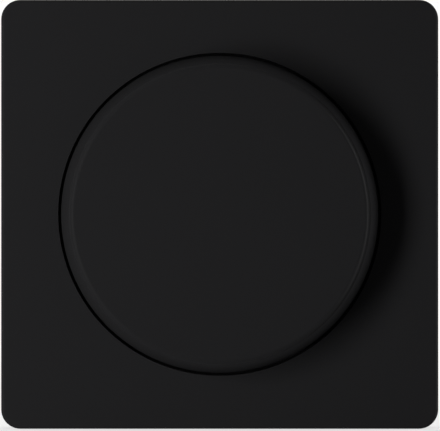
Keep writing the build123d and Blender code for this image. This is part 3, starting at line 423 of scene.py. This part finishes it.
def clear_glass(name, colour):
    """Clear glass tube: a little haze in patches."""
    material, tree = new_finish(name)
    haze = tree.noise(per_metre=600.0)
    tone = tree.tones(colour, darker(colour, 0.94), haze)
    glass = {"Transmission Weight": 1.0, "IOR": 1.5}
    tree.skin(tone, 0.01 + 0.06 * haze, tree.bump(haze, relief=0.004 * MM), glass)
    return material


def dipped_resin(name, colour, shade):
    """Dipped resin case: glossy, softly wavy, with pin holes."""
    material, tree = new_finish(name)
    swell = tree.noise(per_metre=260.0)
    pin = tree.noise(per_metre=2600.0)
    tone = tree.tones(colour, shade, 0.7 * swell + 0.3 * pin)
    height = 0.85 * swell + 0.15 * pin
    tree.skin(tone, 0.2 + 0.15 * pin, tree.bump(height, relief=0.08 * MM))
    return material


def sleeved_can(name, sleeve, stripe, metal, centre, radius, front):
    """Electrolytic can along Y: a shrunk sleeve with one pale stripe at its left, and a bare metal
    disc on its end towards the room."""
    material, tree = new_finish(name)
    x, y, z = tree.axes()
    across, up = x - centre[0], z - centre[1]
    bare = (tree.away(across, up) < 0.82 * radius) * (y < front + 0.05 * MM)
    marked = (across < -0.9 * radius) * (abs(up) < 0.4 * radius)
    cloud = tree.noise(per_metre=700.0, detail=3.0)
    coat = tree.tones(sleeve, darker(sleeve, 0.7), cloud)
    coat = tree.tones(coat, stripe, 0.9 * marked)
    disc = tree.tones(metal, darker(metal, 0.75), cloud)
    tone = tree.tones(coat, disc, bare)
    rough = 0.25 + 0.15 * cloud
    tree.skin(tone, rough, tree.bump(cloud, relief=0.01 * MM), {"Metallic": 1.0 * bare})
    return material


def banded_resistor(name, colour, wire):
    """Banded resistors: lacquered bodies with colour rings by the distance from each body's middle
    in X, and bare tinned wire beyond their ends."""
    material, tree = new_finish(name)
    x, _, _ = tree.axes()
    along = abs(x) - RESISTOR_MIDDLE
    cloud = tree.noise(per_metre=900.0, detail=3.0)
    tone = tree.tones(colour, darker(colour, 0.82), cloud)
    for share, band in BANDS:
        ring = abs(along - share * RESISTOR_HALF) < BAND_WIDTH / 2
        tone = tree.tones(tone, band, ring)
    bare = abs(along) > RESISTOR_HALF
    tone = tree.tones(tone, wire, bare)
    rough = 0.3 + 0.12 * cloud
    tree.skin(tone, rough, tree.bump(cloud, relief=0.02 * MM), {"Metallic": 1.0 * bare})
    return material


def woven_pad(name, colour, shade):
    """Insulating pad: rubber on a glass cloth whose weave shows through."""
    material, tree = new_finish(name)
    x, _, z = tree.axes()
    weave = 0.5 + 0.5 * tree.wave(x, PAD_WEAVE) * tree.wave(z, PAD_WEAVE)
    cloud = tree.noise(per_metre=300.0, detail=3.0)
    tone = tree.tones(colour, shade, 0.6 * weave + 0.4 * cloud)
    rough = 0.6 + 0.15 * cloud
    tree.skin(tone, rough, tree.bump(weave, relief=0.02 * MM), {"Specular IOR Level": 0.3})
    return material


def dress(names, material):
    """Gives CAD nodes a finish in place of the plain one they came with."""
    for name in names:
        slots = NODES[name].data.materials
        slots.clear()
        slots.append(material)


def axis_of(name):
    """X and Z of the middle of a CAD node's box: the place of its axis along Y."""
    low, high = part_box(name)
    middle = (low + high) / 2
    return (middle.x, middle.z)


# ---------------------------------------------------------------- settings


def colour_property(name, description, default):
    """A colour in linear light."""
    limits = {"subtype": "COLOR", "size": 3, "min": 0.0, "max": 1.0}
    return bpy.props.FloatVectorProperty(
        name=name, description=description, default=default, **limits
    )


def length_property(name, description, default):
    """A length in metres."""
    limits = {"unit": "LENGTH", "precision": 5, "min": 0.0}
    return bpy.props.FloatProperty(name=name, description=description, default=default, **limits)


def share_property(name, description, default):
    """A share from 0 to 1."""
    limits = {"subtype": "FACTOR", "min": 0.0, "max": 1.0}
    return bpy.props.FloatProperty(name=name, description=description, default=default, **limits)


def power_property(name, description, default):
    """A lamp's power in watts."""
    return bpy.props.FloatProperty(
        name=name, description=description, default=default, unit="POWER"
    )


def pixel_property(name, description, default):
    """A place in the image, in pixels from its upper left corner."""
    return bpy.props.FloatProperty(
        name=name, description=description, default=default, subtype="PIXEL"
    )


def turns_property(name, description, default, least):
    """A number of turns, whole or not."""
    return bpy.props.FloatProperty(
        name=name, description=description, default=default, min=least
    )


def count_property(name, description, default, least, most):
    """A whole number of points."""
    return bpy.props.IntProperty(
        name=name, description=description, default=default, min=least, max=most
    )


class FrontSettings(bpy.types.PropertyGroup):
    """Plastic of the cover plate and the knob."""

    colour: colour_property("Colour", "Main tone of the matt plastic", (0.0120, 0.0119, 0.0125))
    shade: colour_property("Shade", "Second tone that drifts over it", (0.0112, 0.0111, 0.0116))
    roughness: share_property("Roughness", "How matt the skin is", 0.38)
    gloss: share_property("Gloss", "Specular level of the skin", 0.01)
    grain: length_property("Grain", "Width of one dimple of the mould grain", 0.25 * MM)
    relief: length_property("Relief", "Height of the mould grain", 0.004 * MM)


class MetalSettings(bpy.types.PropertyGroup):
    """Metals of the ring, claws, screws and shaft."""

    zinc: colour_property("Zinc", "Zinc plated steel", (0.56, 0.57, 0.565))
    steel: colour_property("Steel", "Turned shaft", (0.55, 0.55, 0.56))
    spring: colour_property("Spring", "Spring steel", (0.42, 0.42, 0.43))
    nickel: colour_property("Nickel", "Nickel plated nuts", (0.66, 0.64, 0.58))
    brass: colour_property("Brass", "Bush, cages and contacts", (0.72, 0.53, 0.24))
    bronze: colour_property("Bronze", "Wiper and pins", (0.66, 0.42, 0.22))
    tin: colour_property("Tin", "Tinned leads, caps and clips", (0.66, 0.66, 0.65))
    aluminium: colour_property("Aluminium", "Rivet", (0.72, 0.72, 0.73))


class ThreadSettings(bpy.types.PropertyGroup):
    """Thread of the two claw screws."""

    pitch: length_property("Pitch", "Distance between two crests", 0.5 * MM)
    crest: length_property("Crest radius", "Outer radius of the thread", 1.5 * MM)
    root: length_property("Root radius", "Radius between the crests", 1.27 * MM)
    start: length_property("Start", "Place of the first turn behind the wall face", 1.7 * MM)
    end: length_property("End", "Place of the last turn behind the wall face", 20.3 * MM)
    sides: count_property("Sides", "Points on one turn", 40, 12, 96)


class SpringSettings(bpy.types.PropertyGroup):
    """Return spring of the push switch."""

    wire: length_property("Wire", "Radius of the wire", 0.22 * MM)
    turns: turns_property("Turns", "Turns of wire", 5.0, 2.0)
    closed: turns_property("Closed turns", "Turns that touch at each end", 0.8, 0.1)
    steps: count_property("Steps", "Points on one turn", 48, 12, 96)
    section: count_property("Section", "Points round the wire", 12, 6, 32)


class InsertSettings(bpy.types.PropertyGroup):
    """Plastics of the insert behind the plate."""

    housing: colour_property("Housing", "Grey of the round housing", (0.33, 0.34, 0.345))
    terminal: colour_property("Terminals", "Grey of the terminal block", (0.09, 0.095, 0.1))
    black: colour_property("Black parts", "Lid, switch case and rotor", (0.02, 0.02, 0.021))
    white: colour_property("White parts", "Plunger and trimmer adjuster", (0.78, 0.77, 0.73))
    blue: colour_property("Trimmer", "Trimmer body", (0.03, 0.1, 0.32))
    paper: colour_property("Laminate", "Track board", (0.3, 0.16, 0.06))
    paper_shade: colour_property("Laminate shade", "Its second tone", (0.2, 0.1, 0.035))
    gloss: share_property("Gloss", "Specular level of the plastics", 0.45)
    grain: length_property("Grain", "Width of one dimple of the mould grain", 0.4 * MM)
    relief: length_property("Relief", "Height of the mould grain", 0.012 * MM)


class CircuitSettings(bpy.types.PropertyGroup):
    """Circuit board and the components on it."""

    board: colour_property("Board", "Lacquer on the bare laminate", (0.02, 0.09, 0.035))
    copper: colour_property("Copper areas", "Lacquer on the copper", (0.07, 0.24, 0.1))
    carbon: colour_property("Carbon", "Printed track", (0.03, 0.03, 0.03))
    carbon_shade: colour_property("Carbon shade", "Its second tone", (0.05, 0.05, 0.052))
    epoxy: colour_property("Epoxy", "Power semiconductor", (0.018, 0.018, 0.019))
    epoxy_shade: colour_property("Epoxy shade", "Its second tone", (0.026, 0.026, 0.027))
    pad: colour_property("Pad", "Insulating pad", (0.4, 0.42, 0.44))
    pad_shade: colour_property("Pad shade", "Its second tone", (0.3, 0.32, 0.34))
    core: colour_property("Core", "Coat on the rim of the choke's core", (0.6, 0.45, 0.06))
    core_end: colour_property("Core end", "Coat on the end of the core", (0.75, 0.74, 0.7))
    wire: colour_property("Winding", "Enamelled copper", (0.5, 0.2, 0.08))
    wire_shade: colour_property("Winding shade", "Its second tone", (0.36, 0.12, 0.045))
    glass: colour_property("Glass", "Fuse tube", (0.93, 0.95, 0.95))
    film: colour_property("Film capacitor", "Dipped case", (0.55, 0.3, 0.05))
    film_shade: colour_property("Film capacitor shade", "Its second tone", (0.45, 0.22, 0.03))
    sleeve: colour_property("Sleeve", "Smoothing capacitor's sleeve", (0.03, 0.035, 0.06))
    stripe: colour_property("Stripe", "Stripe on the sleeve", (0.55, 0.56, 0.58))
    can: colour_property("Can", "Bare end of the smoothing capacitor", (0.72, 0.72, 0.73))
    resistor: colour_property("Resistors", "Lacquered bodies", (0.5, 0.36, 0.2))
    lead: colour_property("Leads", "Tinned wire of the resistors", (0.62, 0.62, 0.61))


class StageSettings(bpy.types.PropertyGroup):
    """Studio: background, floor, lamps and camera."""

    background: colour_property("Background", "Backdrop that the camera sees", (1.0, 1.0, 1.0))
    floor: colour_property("Floor", "Pale floor", (0.86, 0.86, 0.86))
    ambient: share_property("Ambient", "Level of the room's soft light in front", 0.04)
    behind: share_property("Backdrop light", "Level of the light from behind the wall plane", 0.3)
    key: power_property("Key lamp", "Power of the lamp at the front left", 2.5)
    fill: power_property("Fill lamps", "Power of the one at the right", 4.0)
    sheen: power_property("Sheen lamp", "Power of the strip that only reflects", 18.0)
    rear: power_property("Rear lamps", "Power of each lamp behind", 0.8)
    distance: length_property("Camera distance", "From the wall face to the camera", 0.95)
    view_width: length_property("View width", "Width seen at the plate's front", 82.0 * MM)
    middle_x: pixel_property("Middle across", "Object's middle in the image", 219.7)
    middle_y: pixel_property("Middle down", "Object's middle in the image", 214.3)


# ---------------------------------------------------------------- pieces


def helical_thread(name, axis_x, axis_z, size):
    """A single-start right-hand thread as a closed sleeve round an axis along Y.
    Point of turn angle u and profile place v: radius = root + (crest - root) * tooth(v), where
    tooth is a flat-topped tooth, faded over the first and last turn;
    Y = start + pitch * (u / full turn + v). The place v = 1 of one turn is the place v = 0 of the
    next, and a point on the axis closes each end."""
    sides = size.sides
    steps = len(TOOTH_PLACES)
    turns = int((size.end - size.start) / size.pitch) - 1
    count = sides * turns
    step = np.arange(count + sides + 1)
    angle = (2 * np.pi * step / sides)[:, None]
    fade = np.clip(np.minimum(step, count - step) / sides, 0.0, 1.0)[:, None]
    radius = size.root + (size.crest - size.root) * TOOTH_HEIGHTS[None, :] * fade
    points = np.stack(
        [
            axis_x + radius * np.sin(angle),
            size.start + size.pitch * (angle / (2 * np.pi) + TOOTH_PLACES[None, :]),
            axis_z + radius * np.cos(angle),
        ],
        axis=-1,
    )
    index = np.arange(points.shape[0] * steps).reshape(-1, steps)
    here = index[:count]
    ahead = index[1:count + 1]
    above = np.concatenate([here[:, 1:], index[sides:count + sides, :1]], axis=1)
    beyond = np.concatenate([ahead[:, 1:], index[sides + 1:count + sides + 1, :1]], axis=1)
    quads = np.stack([here, ahead, beyond, above], axis=-1).reshape(-1, 4)
    low_rim = np.concatenate([index[:sides + 1, 0], index[0, :0:-1]])
    high_rim = np.concatenate([index[count:count + sides + 1, 0], index[count, :0:-1]])
    low_pole, high_pole = index.size, index.size + 1
    poles = np.array([
        [axis_x, size.start + size.pitch / 2, axis_z],
        [axis_x, size.start + size.pitch * (turns + 0.5), axis_z],
    ])
    low_ring, high_ring = np.roll(low_rim, -1), np.roll(high_rim, -1)
    low_cap = np.stack([np.full_like(low_rim, low_pole), low_ring, low_rim], axis=-1)
    high_cap = np.stack([np.full_like(high_rim, high_pole), high_rim, high_ring], axis=-1)
    everything = np.concatenate([points.reshape(-1, 3), poles])
    used = np.unique(np.concatenate([quads.ravel(), low_cap.ravel(), high_cap.ravel()]))
    renumber = np.zeros(len(everything), int)
    renumber[used] = np.arange(len(used))
    faces = [face for group in (quads, low_cap, high_cap) for face in renumber[group].tolist()]
    return surface_piece(name, everything[used], faces, smooth=False)


def coil_spring(name, low, high, size):
    """A compression spring of round wire round the axis of Y, with its end turns closed.
    Point of wire place u and section angle v: middle + wire * (cos v * normal + sin v * binormal).
    The middle runs on a helix from the back to the front: its angle grows evenly with u, and its Y
    changes by one wire's width to the turn in the closed part of each end, and evenly in between.
    A point on the middle closes each end of the wire."""
    along = np.linspace(0.0, 1.0, int(size.turns * size.steps) + 1)
    level = size.closed / size.turns
    share = np.clip((along - level) / (1.0 - 2.0 * level), 0.0, 1.0)
    reach = (high.x - low.x) / 2 - size.wire
    angle = 2 * np.pi * size.turns * along
    front, back = low.y + size.wire, high.y - size.wire
    lift = 2.0 * size.wire * size.closed
    ends = np.minimum(along, level) + np.maximum(along - 1.0 + level, 0.0)
    rise = back - lift * ends / level - (back - front - 2.0 * lift) * share
    middle = np.stack([reach * np.sin(angle), rise, reach * np.cos(angle)], axis=-1)
    tangent = np.gradient(middle, axis=0)
    tangent /= np.linalg.norm(tangent, axis=1, keepdims=True)
    normal = np.stack([np.sin(angle), np.zeros_like(angle), np.cos(angle)], axis=-1)
    normal -= tangent * np.sum(normal * tangent, axis=1, keepdims=True)
    normal /= np.linalg.norm(normal, axis=1, keepdims=True)
    binormal = np.cross(tangent, normal)
    turn = (2 * np.pi * np.arange(size.section) / size.section)[None, :, None]
    ring = size.wire * (np.cos(turn) * normal[:, None, :] + np.sin(turn) * binormal[:, None, :])
    skin = (middle[:, None, :] + ring).reshape(-1, 3)
    index = np.arange(len(skin)).reshape(-1, size.section)
    side = np.roll(index, -1, axis=1)
    quads = np.stack([index[:-1], side[:-1], side[1:], index[1:]], axis=-1).reshape(-1, 4)
    first, last = len(skin), len(skin) + 1
    start = np.stack([np.full(size.section, first), side[0], index[0]], axis=-1)
    finish = np.stack([np.full(size.section, last), index[-1], side[-1]], axis=-1)
    faces = [face for group in (quads, start, finish) for face in group.tolist()]
    return surface_piece(name, np.concatenate([skin, middle[:1], middle[-1:]]), faces)


def surface_piece(name, points, faces, smooth=True):
    """A mesh object at the origin from points and faces."""
    mesh = bpy.data.meshes.new(name)
    mesh.from_pydata(points.tolist(), [], faces)
    mesh.polygons.foreach_set("use_smooth", np.full(len(faces), smooth))
    mesh.validate()
    mesh.update()
    piece = bpy.data.objects.new(name, mesh)
    bpy.context.scene.collection.objects.link(piece)
    return piece


def add_lamp(name, spot, aim, width, height, power):
    """A rectangular lamp that faces a point."""
    data = bpy.data.lights.new(name, "AREA")
    data.shape = "RECTANGLE"
    data.size = width
    data.size_y = height
    data.energy = power
    lamp = bpy.data.objects.new(name, data)
    lamp.location = spot
    lamp.rotation_euler = (aim - Vector(spot)).to_track_quat("-Z", "Y").to_euler()
    lamp.visible_camera = False
    bpy.context.scene.collection.objects.link(lamp)
    return lamp


# ---------------------------------------------------------------- operators


class DIMMER_OT_front(bpy.types.Operator):
    """Finish the cover plate and the knob in matt plastic"""

    bl_idname = "dimmer.front"
    bl_label = "Finish the front"

    def execute(self, context):
        size = context.scene.dimmer_front
        skin = (size.roughness, size.grain, size.relief, size.gloss)
        dress(FRONT_PIECES, moulded_plastic("anthracite_plastic", size.colour, size.shade, *skin))
        return {"FINISHED"}


class DIMMER_OT_metalwork(bpy.types.Operator):
    """Finish the ring, claws, screws, nuts, shaft and springs in their metals"""

    bl_idname = "dimmer.metalwork"
    bl_label = "Finish the metalwork"

    def execute(self, context):
        size = context.scene.dimmer_metal
        self.finish_sheets(size)
        self.finish_screws(size)
        self.finish_turned(size)
        tin = dipped_metal("tin", size.tin, darker(size.tin, 0.75), 0.34)
        dress(("triac_leadframe", "fuse_caps", "fuse_clips"), tin)
        return {"FINISHED"}

    def finish_sheets(self, size):
        """Sheets: name, colour, share of it in the second tone, roughness, streaks and pieces."""
        zinc_pieces = ("support_ring", "lock_washer", "left_claw", "right_claw")
        brass_pieces = ("contact_bridge", "switch_contacts", "terminal_cages")
        bronze_pieces = ("wiper_contact", "pot_pins")
        sheets = (
            ("zinc_sheet", size.zinc, ZINC_SHADE, 0.36, STREAKS_ALONG_X, zinc_pieces),
            ("zinc_can", size.zinc, ZINC_SHADE, 0.34, STREAKS_ROUND_Y, ("pot_can",)),
            ("rolled_brass", size.brass, 0.7, 0.34, STREAKS_ALONG_Z, brass_pieces),
            ("rolled_bronze", size.bronze, 0.7, 0.36, STREAKS_ALONG_Z, bronze_pieces),
        )
        for name, colour, share, roughness, streaks, pieces in sheets:
            dress(pieces, rolled_metal(name, colour, darker(colour, share), roughness, streaks))

    def finish_screws(self, size):
        """Zinc plated screws: name, axis, pitch where they stand in a row, and pieces."""
        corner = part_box("housing_screws")[1]
        housing_axis = (corner.x - HOUSING_SCREW_HEAD, corner.z - HOUSING_SCREW_HEAD)
        row_axis = axis_of("terminal_screws")
        claw_axis = axis_of("right_claw_screw")
        screws = (
            ("zinc_claw_screw", claw_axis, None, ("left_claw_screw", "right_claw_screw")),
            ("zinc_housing_screw", housing_axis, None, ("housing_screws",)),
            ("zinc_clamp_screw", row_axis, TERMINAL_PITCH, ("terminal_screws",)),
        )
        skin = (size.zinc, darker(size.zinc, ZINC_SHADE), SCREW_ROUGHNESS)
        for name, axis, pitch, pieces in screws:
            dress(pieces, turned_metal(name, *skin, axis, pitch))

    def finish_turned(self, size):
        """Other turned metals: name, colour, share in the second tone, roughness, axis, pieces."""
        rivet_axis = axis_of("triac_rivet")
        turned = (
            ("shaft_steel", size.steel, 0.75, 0.28, SHAFT_AXIS, ("spindle",)),
            ("turned_brass", size.brass, 0.75, 0.3, SHAFT_AXIS, ("bush",)),
            ("nickel_plate", size.nickel, 0.8, 0.26, SHAFT_AXIS, ("plate_nut", "pot_nut")),
            ("spring_steel", size.spring, 0.7, 0.36, SHAFT_AXIS, ("knob_ring", "return_spring")),
            ("aluminium", size.aluminium, 0.8, 0.36, rivet_axis, ("triac_rivet",)),
        )
        for name, colour, share, roughness, axis, pieces in turned:
            dress(pieces, turned_metal(name, colour, darker(colour, share), roughness, axis))


class DIMMER_OT_claw_threads(bpy.types.Operator):
    """Cut the threads of the two claw screws"""

    bl_idname = "dimmer.claw_threads"
    bl_label = "Cut the claw threads"

    def execute(self, context):
        size = context.scene.dimmer_thread
        for side in ("left", "right"):
            axis_x, axis_z = axis_of(f"{side}_claw_screw")
            thread = helical_thread(f"{side}_claw_thread", axis_x, axis_z, size)
            thread.data.materials.append(NODES[f"{side}_claw_screw"].data.materials[0])
            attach(thread, f"{side}_screw")
        return {"FINISHED"}


class DIMMER_OT_return_coil(bpy.types.Operator):
    """Wind the return spring in place of the CAD one, fixed to the base"""

    bl_idname = "dimmer.return_coil"
    bl_label = "Wind the return spring"

    def execute(self, context):
        low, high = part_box("return_spring")
        coil = coil_spring("return_coil", low, high, context.scene.dimmer_spring)
        coil.data.materials.append(NODES["return_spring"].data.materials[0])
        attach(coil, "base")
        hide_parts("return_spring")
        push = next(joint for joint in frame["joints"] if joint["name"] == "knob_push")
        length = high.y - low.y
        keep = (length - push["range_m"][1]) / length
        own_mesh(coil)
        return {"FINISHED"}


class DIMMER_OT_insert(bpy.types.Operator):
    """Finish the housing, lid, terminals and switch in their plastics"""

    bl_idname = "dimmer.insert"
    bl_label = "Finish the insert"

    def execute(self, context):
        size = context.scene.dimmer_insert
        # Name, colour, roughness and pieces of each plastic
        plastics = (
            ("housing_plastic", size.housing, 0.46, ("housing",)),
            ("terminal_plastic", size.terminal, 0.42, ("terminal_block",)),
            ("black_plastic", size.black, 0.42, ("insert_lid", "switch_case", "wiper_rotor")),
            ("white_plastic", size.white, 0.4, ("switch_plunger", "trimmer_adjuster")),
            ("trimmer_plastic", size.blue, 0.38, ("trimmer_body",)),
        )
        for name, colour, roughness, pieces in plastics:
            skin = (roughness, size.grain, size.relief, size.gloss)
            dress(pieces, moulded_plastic(name, colour, darker(colour, 0.9), *skin))
        dress(("track_board",), paper_laminate("paper_laminate", size.paper, size.paper_shade))
        return {"FINISHED"}


class DIMMER_OT_circuit(bpy.types.Operator):
    """Finish the circuit board and the components on it"""

    bl_idname = "dimmer.circuit"
    bl_label = "Finish the circuit"

    def execute(self, context):
        size = context.scene.dimmer_circuit
        dress(("circuit_board",), lacquered_board("circuit_laminate", size.board, size.copper))
        dress(("resistive_track",), printed_carbon("carbon", size.carbon, size.carbon_shade))
        skin = {"roughness": 0.5, "grain": 0.18 * MM, "relief": 0.012 * MM, "gloss": 0.4}
        epoxy = moulded_plastic("epoxy", size.epoxy, size.epoxy_shade, **skin)
        dress(("triac_body",), epoxy)
        dress(("triac_pad",), woven_pad("pad_rubber", size.pad, size.pad_shade))
        low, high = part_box("choke_core")
        middle, half = (low.y + high.y) / 2, (high.y - low.y) / 2
        dress(("choke_core",), coated_core("iron_powder", size.core, size.core_end, middle, half))
        winding = enamelled_wire("enamelled_copper", size.wire, size.wire_shade)
        dress(("choke_winding",), winding)
        dress(("fuse_tube",), clear_glass("glass", size.glass))
        dress(("film_capacitor",), dipped_resin("film_case", size.film, size.film_shade))
        low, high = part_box("smoothing_capacitor")
        place = (axis_of("smoothing_capacitor"), (high.x - low.x) / 2, low.y)
        can = sleeved_can("capacitor_sleeve", size.sleeve, size.stripe, size.can, *place)
        dress(("smoothing_capacitor",), can)
        dress(("resistors",), banded_resistor("resistor_body", size.resistor, size.lead))
        return {"FINISHED"}


class DIMMER_OT_stage(bpy.types.Operator):
    """Set the floor, the background, the lamps and the camera"""

    bl_idname = "dimmer.stage"
    bl_label = "Set the stage"

    def execute(self, context):
        size = context.scene.dimmer_stage
        scene = context.scene
        scene.view_settings.view_transform = "Standard"
        self.set_background(scene, size)
        self.lay_floor(size)
        self.hang_lamps(size)
        self.place_camera(scene, size)
        return {"FINISHED"}

    def set_background(self, scene, size):
        """White where the camera, a reflection or glass sees it, dim as light on the object."""
        world = bpy.data.worlds.new("studio")
        tree = Tree(world)
        colour = rgba(size.background)
        facing = tree.node("ShaderNodeTexCoord", output="Generated")
        depth = tree.node("ShaderNodeSeparateXYZ", None, {0: facing}, output="Y")
        level = tree.ease(depth, DIM_EDGE, BRIGHT_EDGE, size.ambient, size.behind)
        dim = tree.node("ShaderNodeBackground", None, {"Color": colour, "Strength": level})
        white = tree.node("ShaderNodeBackground", None, {"Color": colour, "Strength": 1.0})
        mixed = tree.node("ShaderNodeMixShader", None, {0: tree.seen(), 1: dim, 2: white})
        tree.node("ShaderNodeOutputWorld", None, {"Surface": mixed})
        scene.world = world

    def lay_floor(self, size):
        """A flat pale floor under the plate. Where it is seen it turns to plain white further out
        and keeps a part of the shadows near the object. It adds no light of its own."""
        corners = np.array([[-1.0, -1.0], [1.0, -1.0], [1.0, 1.0], [-1.0, 1.0]]) * FLOOR_REACH
        points = np.column_stack([corners, np.full(len(corners), cad_low.z)])
        floor = surface_piece("floor", points, [[0, 1, 2, 3]])
        material, tree = new_finish("pale_floor")
        cloud = tree.noise(per_metre=6.0, detail=3.0)
        tone = tree.tones(size.floor, darker(size.floor, 0.985), cloud)
        seen = tree.seen()
        tone = tree.tones(darker(size.floor, FLOOR_DIM), tone, seen)
        matt = tree.node("ShaderNodeBsdfDiffuse", None, {"Color": tone})
        glow = {"Color": rgba(size.background), "Strength": 1.0}
        white = tree.node("ShaderNodeEmission", None, glow)
        x, y, _ = tree.axes()
        share = tree.ease(tree.away(x, y), WHITE_START, WHITE_END, WHITE_SHARE, 1.0)
        mixed = tree.node("ShaderNodeMixShader", None, {0: share * seen, 1: matt, 2: white})
        tree.node("ShaderNodeOutputMaterial", None, {"Surface": mixed})
        material.cycles.emission_sampling = "NONE"
        floor.data.materials.append(material)
        floor.visible_shadow = False

    def hang_lamps(self, size):
        """A key lamp at the front left that casts the knob's shadow, soft fill lamps at three sides
        behind the plate's front, a strip at the front right that only reflects in the plastic of
        the front, and two lamps behind for the insert."""
        aim = Vector((0.0, PLATE_FRONT, 0.0))
        lamps = {}
        for name, spot, width, height, power, share in LAMPS:
            lamps[name] = add_lamp(name, spot, aim, width, height, share * getattr(size, power))
        for name in FILL_LAMPS:
            lamps[name].visible_glossy = False
        sheen = lamps["sheen_lamp"]
        sheen.visible_diffuse = False
        front = bpy.data.collections.new("front_pieces")
        for name in FRONT_PIECES:
            front.objects.link(NODES[name])
        sheen.light_linking.receiver_collection = front

    def place_camera(self, scene, size):
        """Straight in front. The view width is that at the plate's front plane, and the object's
        middle falls on its pixel."""
        data = bpy.data.cameras.new("camera")
        data.sensor_width = SENSOR
        data.lens = SENSOR * (size.distance + PLATE_FRONT) / size.view_width
        per_pixel = size.view_width / IMAGE_WIDTH
        camera = bpy.data.objects.new("camera", data)
        camera.location = (
            (IMAGE_WIDTH / 2 - size.middle_x) * per_pixel,
            -size.distance,
            (size.middle_y - IMAGE_HEIGHT / 2) * per_pixel,
        )
        camera.rotation_euler = (math.pi / 2, 0.0, 0.0)
        scene.collection.objects.link(camera)
        scene.camera = camera


class DIMMER_PT_panel(bpy.types.Panel):
    """Sizes and colours of the dimmer, and the steps that make its looks"""

    bl_idname = "DIMMER_PT_panel"
    bl_label = "Wall dimmer"
    bl_space_type = "VIEW_3D"
    bl_region_type = "UI"
    bl_category = "Dimmer"

    def draw(self, context):
        for name, group, operator in STEPS:
            box = self.layout.box()
            box.label(text=group.__doc__)
            settings = getattr(context.scene, name)
            for key in group.__annotations__:
                box.prop(settings, key)
            box.operator(operator.bl_idname)


# Each step: the name of its settings in the scene, their group, and the operator
STEPS = (
    ("dimmer_front", FrontSettings, DIMMER_OT_front),
    ("dimmer_metal", MetalSettings, DIMMER_OT_metalwork),
    ("dimmer_thread", ThreadSettings, DIMMER_OT_claw_threads),
    ("dimmer_spring", SpringSettings, DIMMER_OT_return_coil),
    ("dimmer_insert", InsertSettings, DIMMER_OT_insert),
    ("dimmer_circuit", CircuitSettings, DIMMER_OT_circuit),
    ("dimmer_stage", StageSettings, DIMMER_OT_stage),
)


def register():
    for name, group, operator in STEPS:
        bpy.utils.register_class(group)
        setattr(bpy.types.Scene, name, bpy.props.PointerProperty(type=group))
        bpy.utils.register_class(operator)
    bpy.utils.register_class(DIMMER_PT_panel)


def unregister():
    bpy.utils.unregister_class(DIMMER_PT_panel)
    for name, group, operator in reversed(STEPS):
        bpy.utils.unregister_class(operator)
        delattr(bpy.types.Scene, name)
        bpy.utils.unregister_class(group)


def main():
    register()
    bpy.ops.dimmer.front()
    bpy.ops.dimmer.metalwork()
    bpy.ops.dimmer.claw_threads()
    bpy.ops.dimmer.return_coil()
    bpy.ops.dimmer.insert()
    bpy.ops.dimmer.circuit()
    bpy.ops.dimmer.stage()


if __name__ == "__main__":
    main()
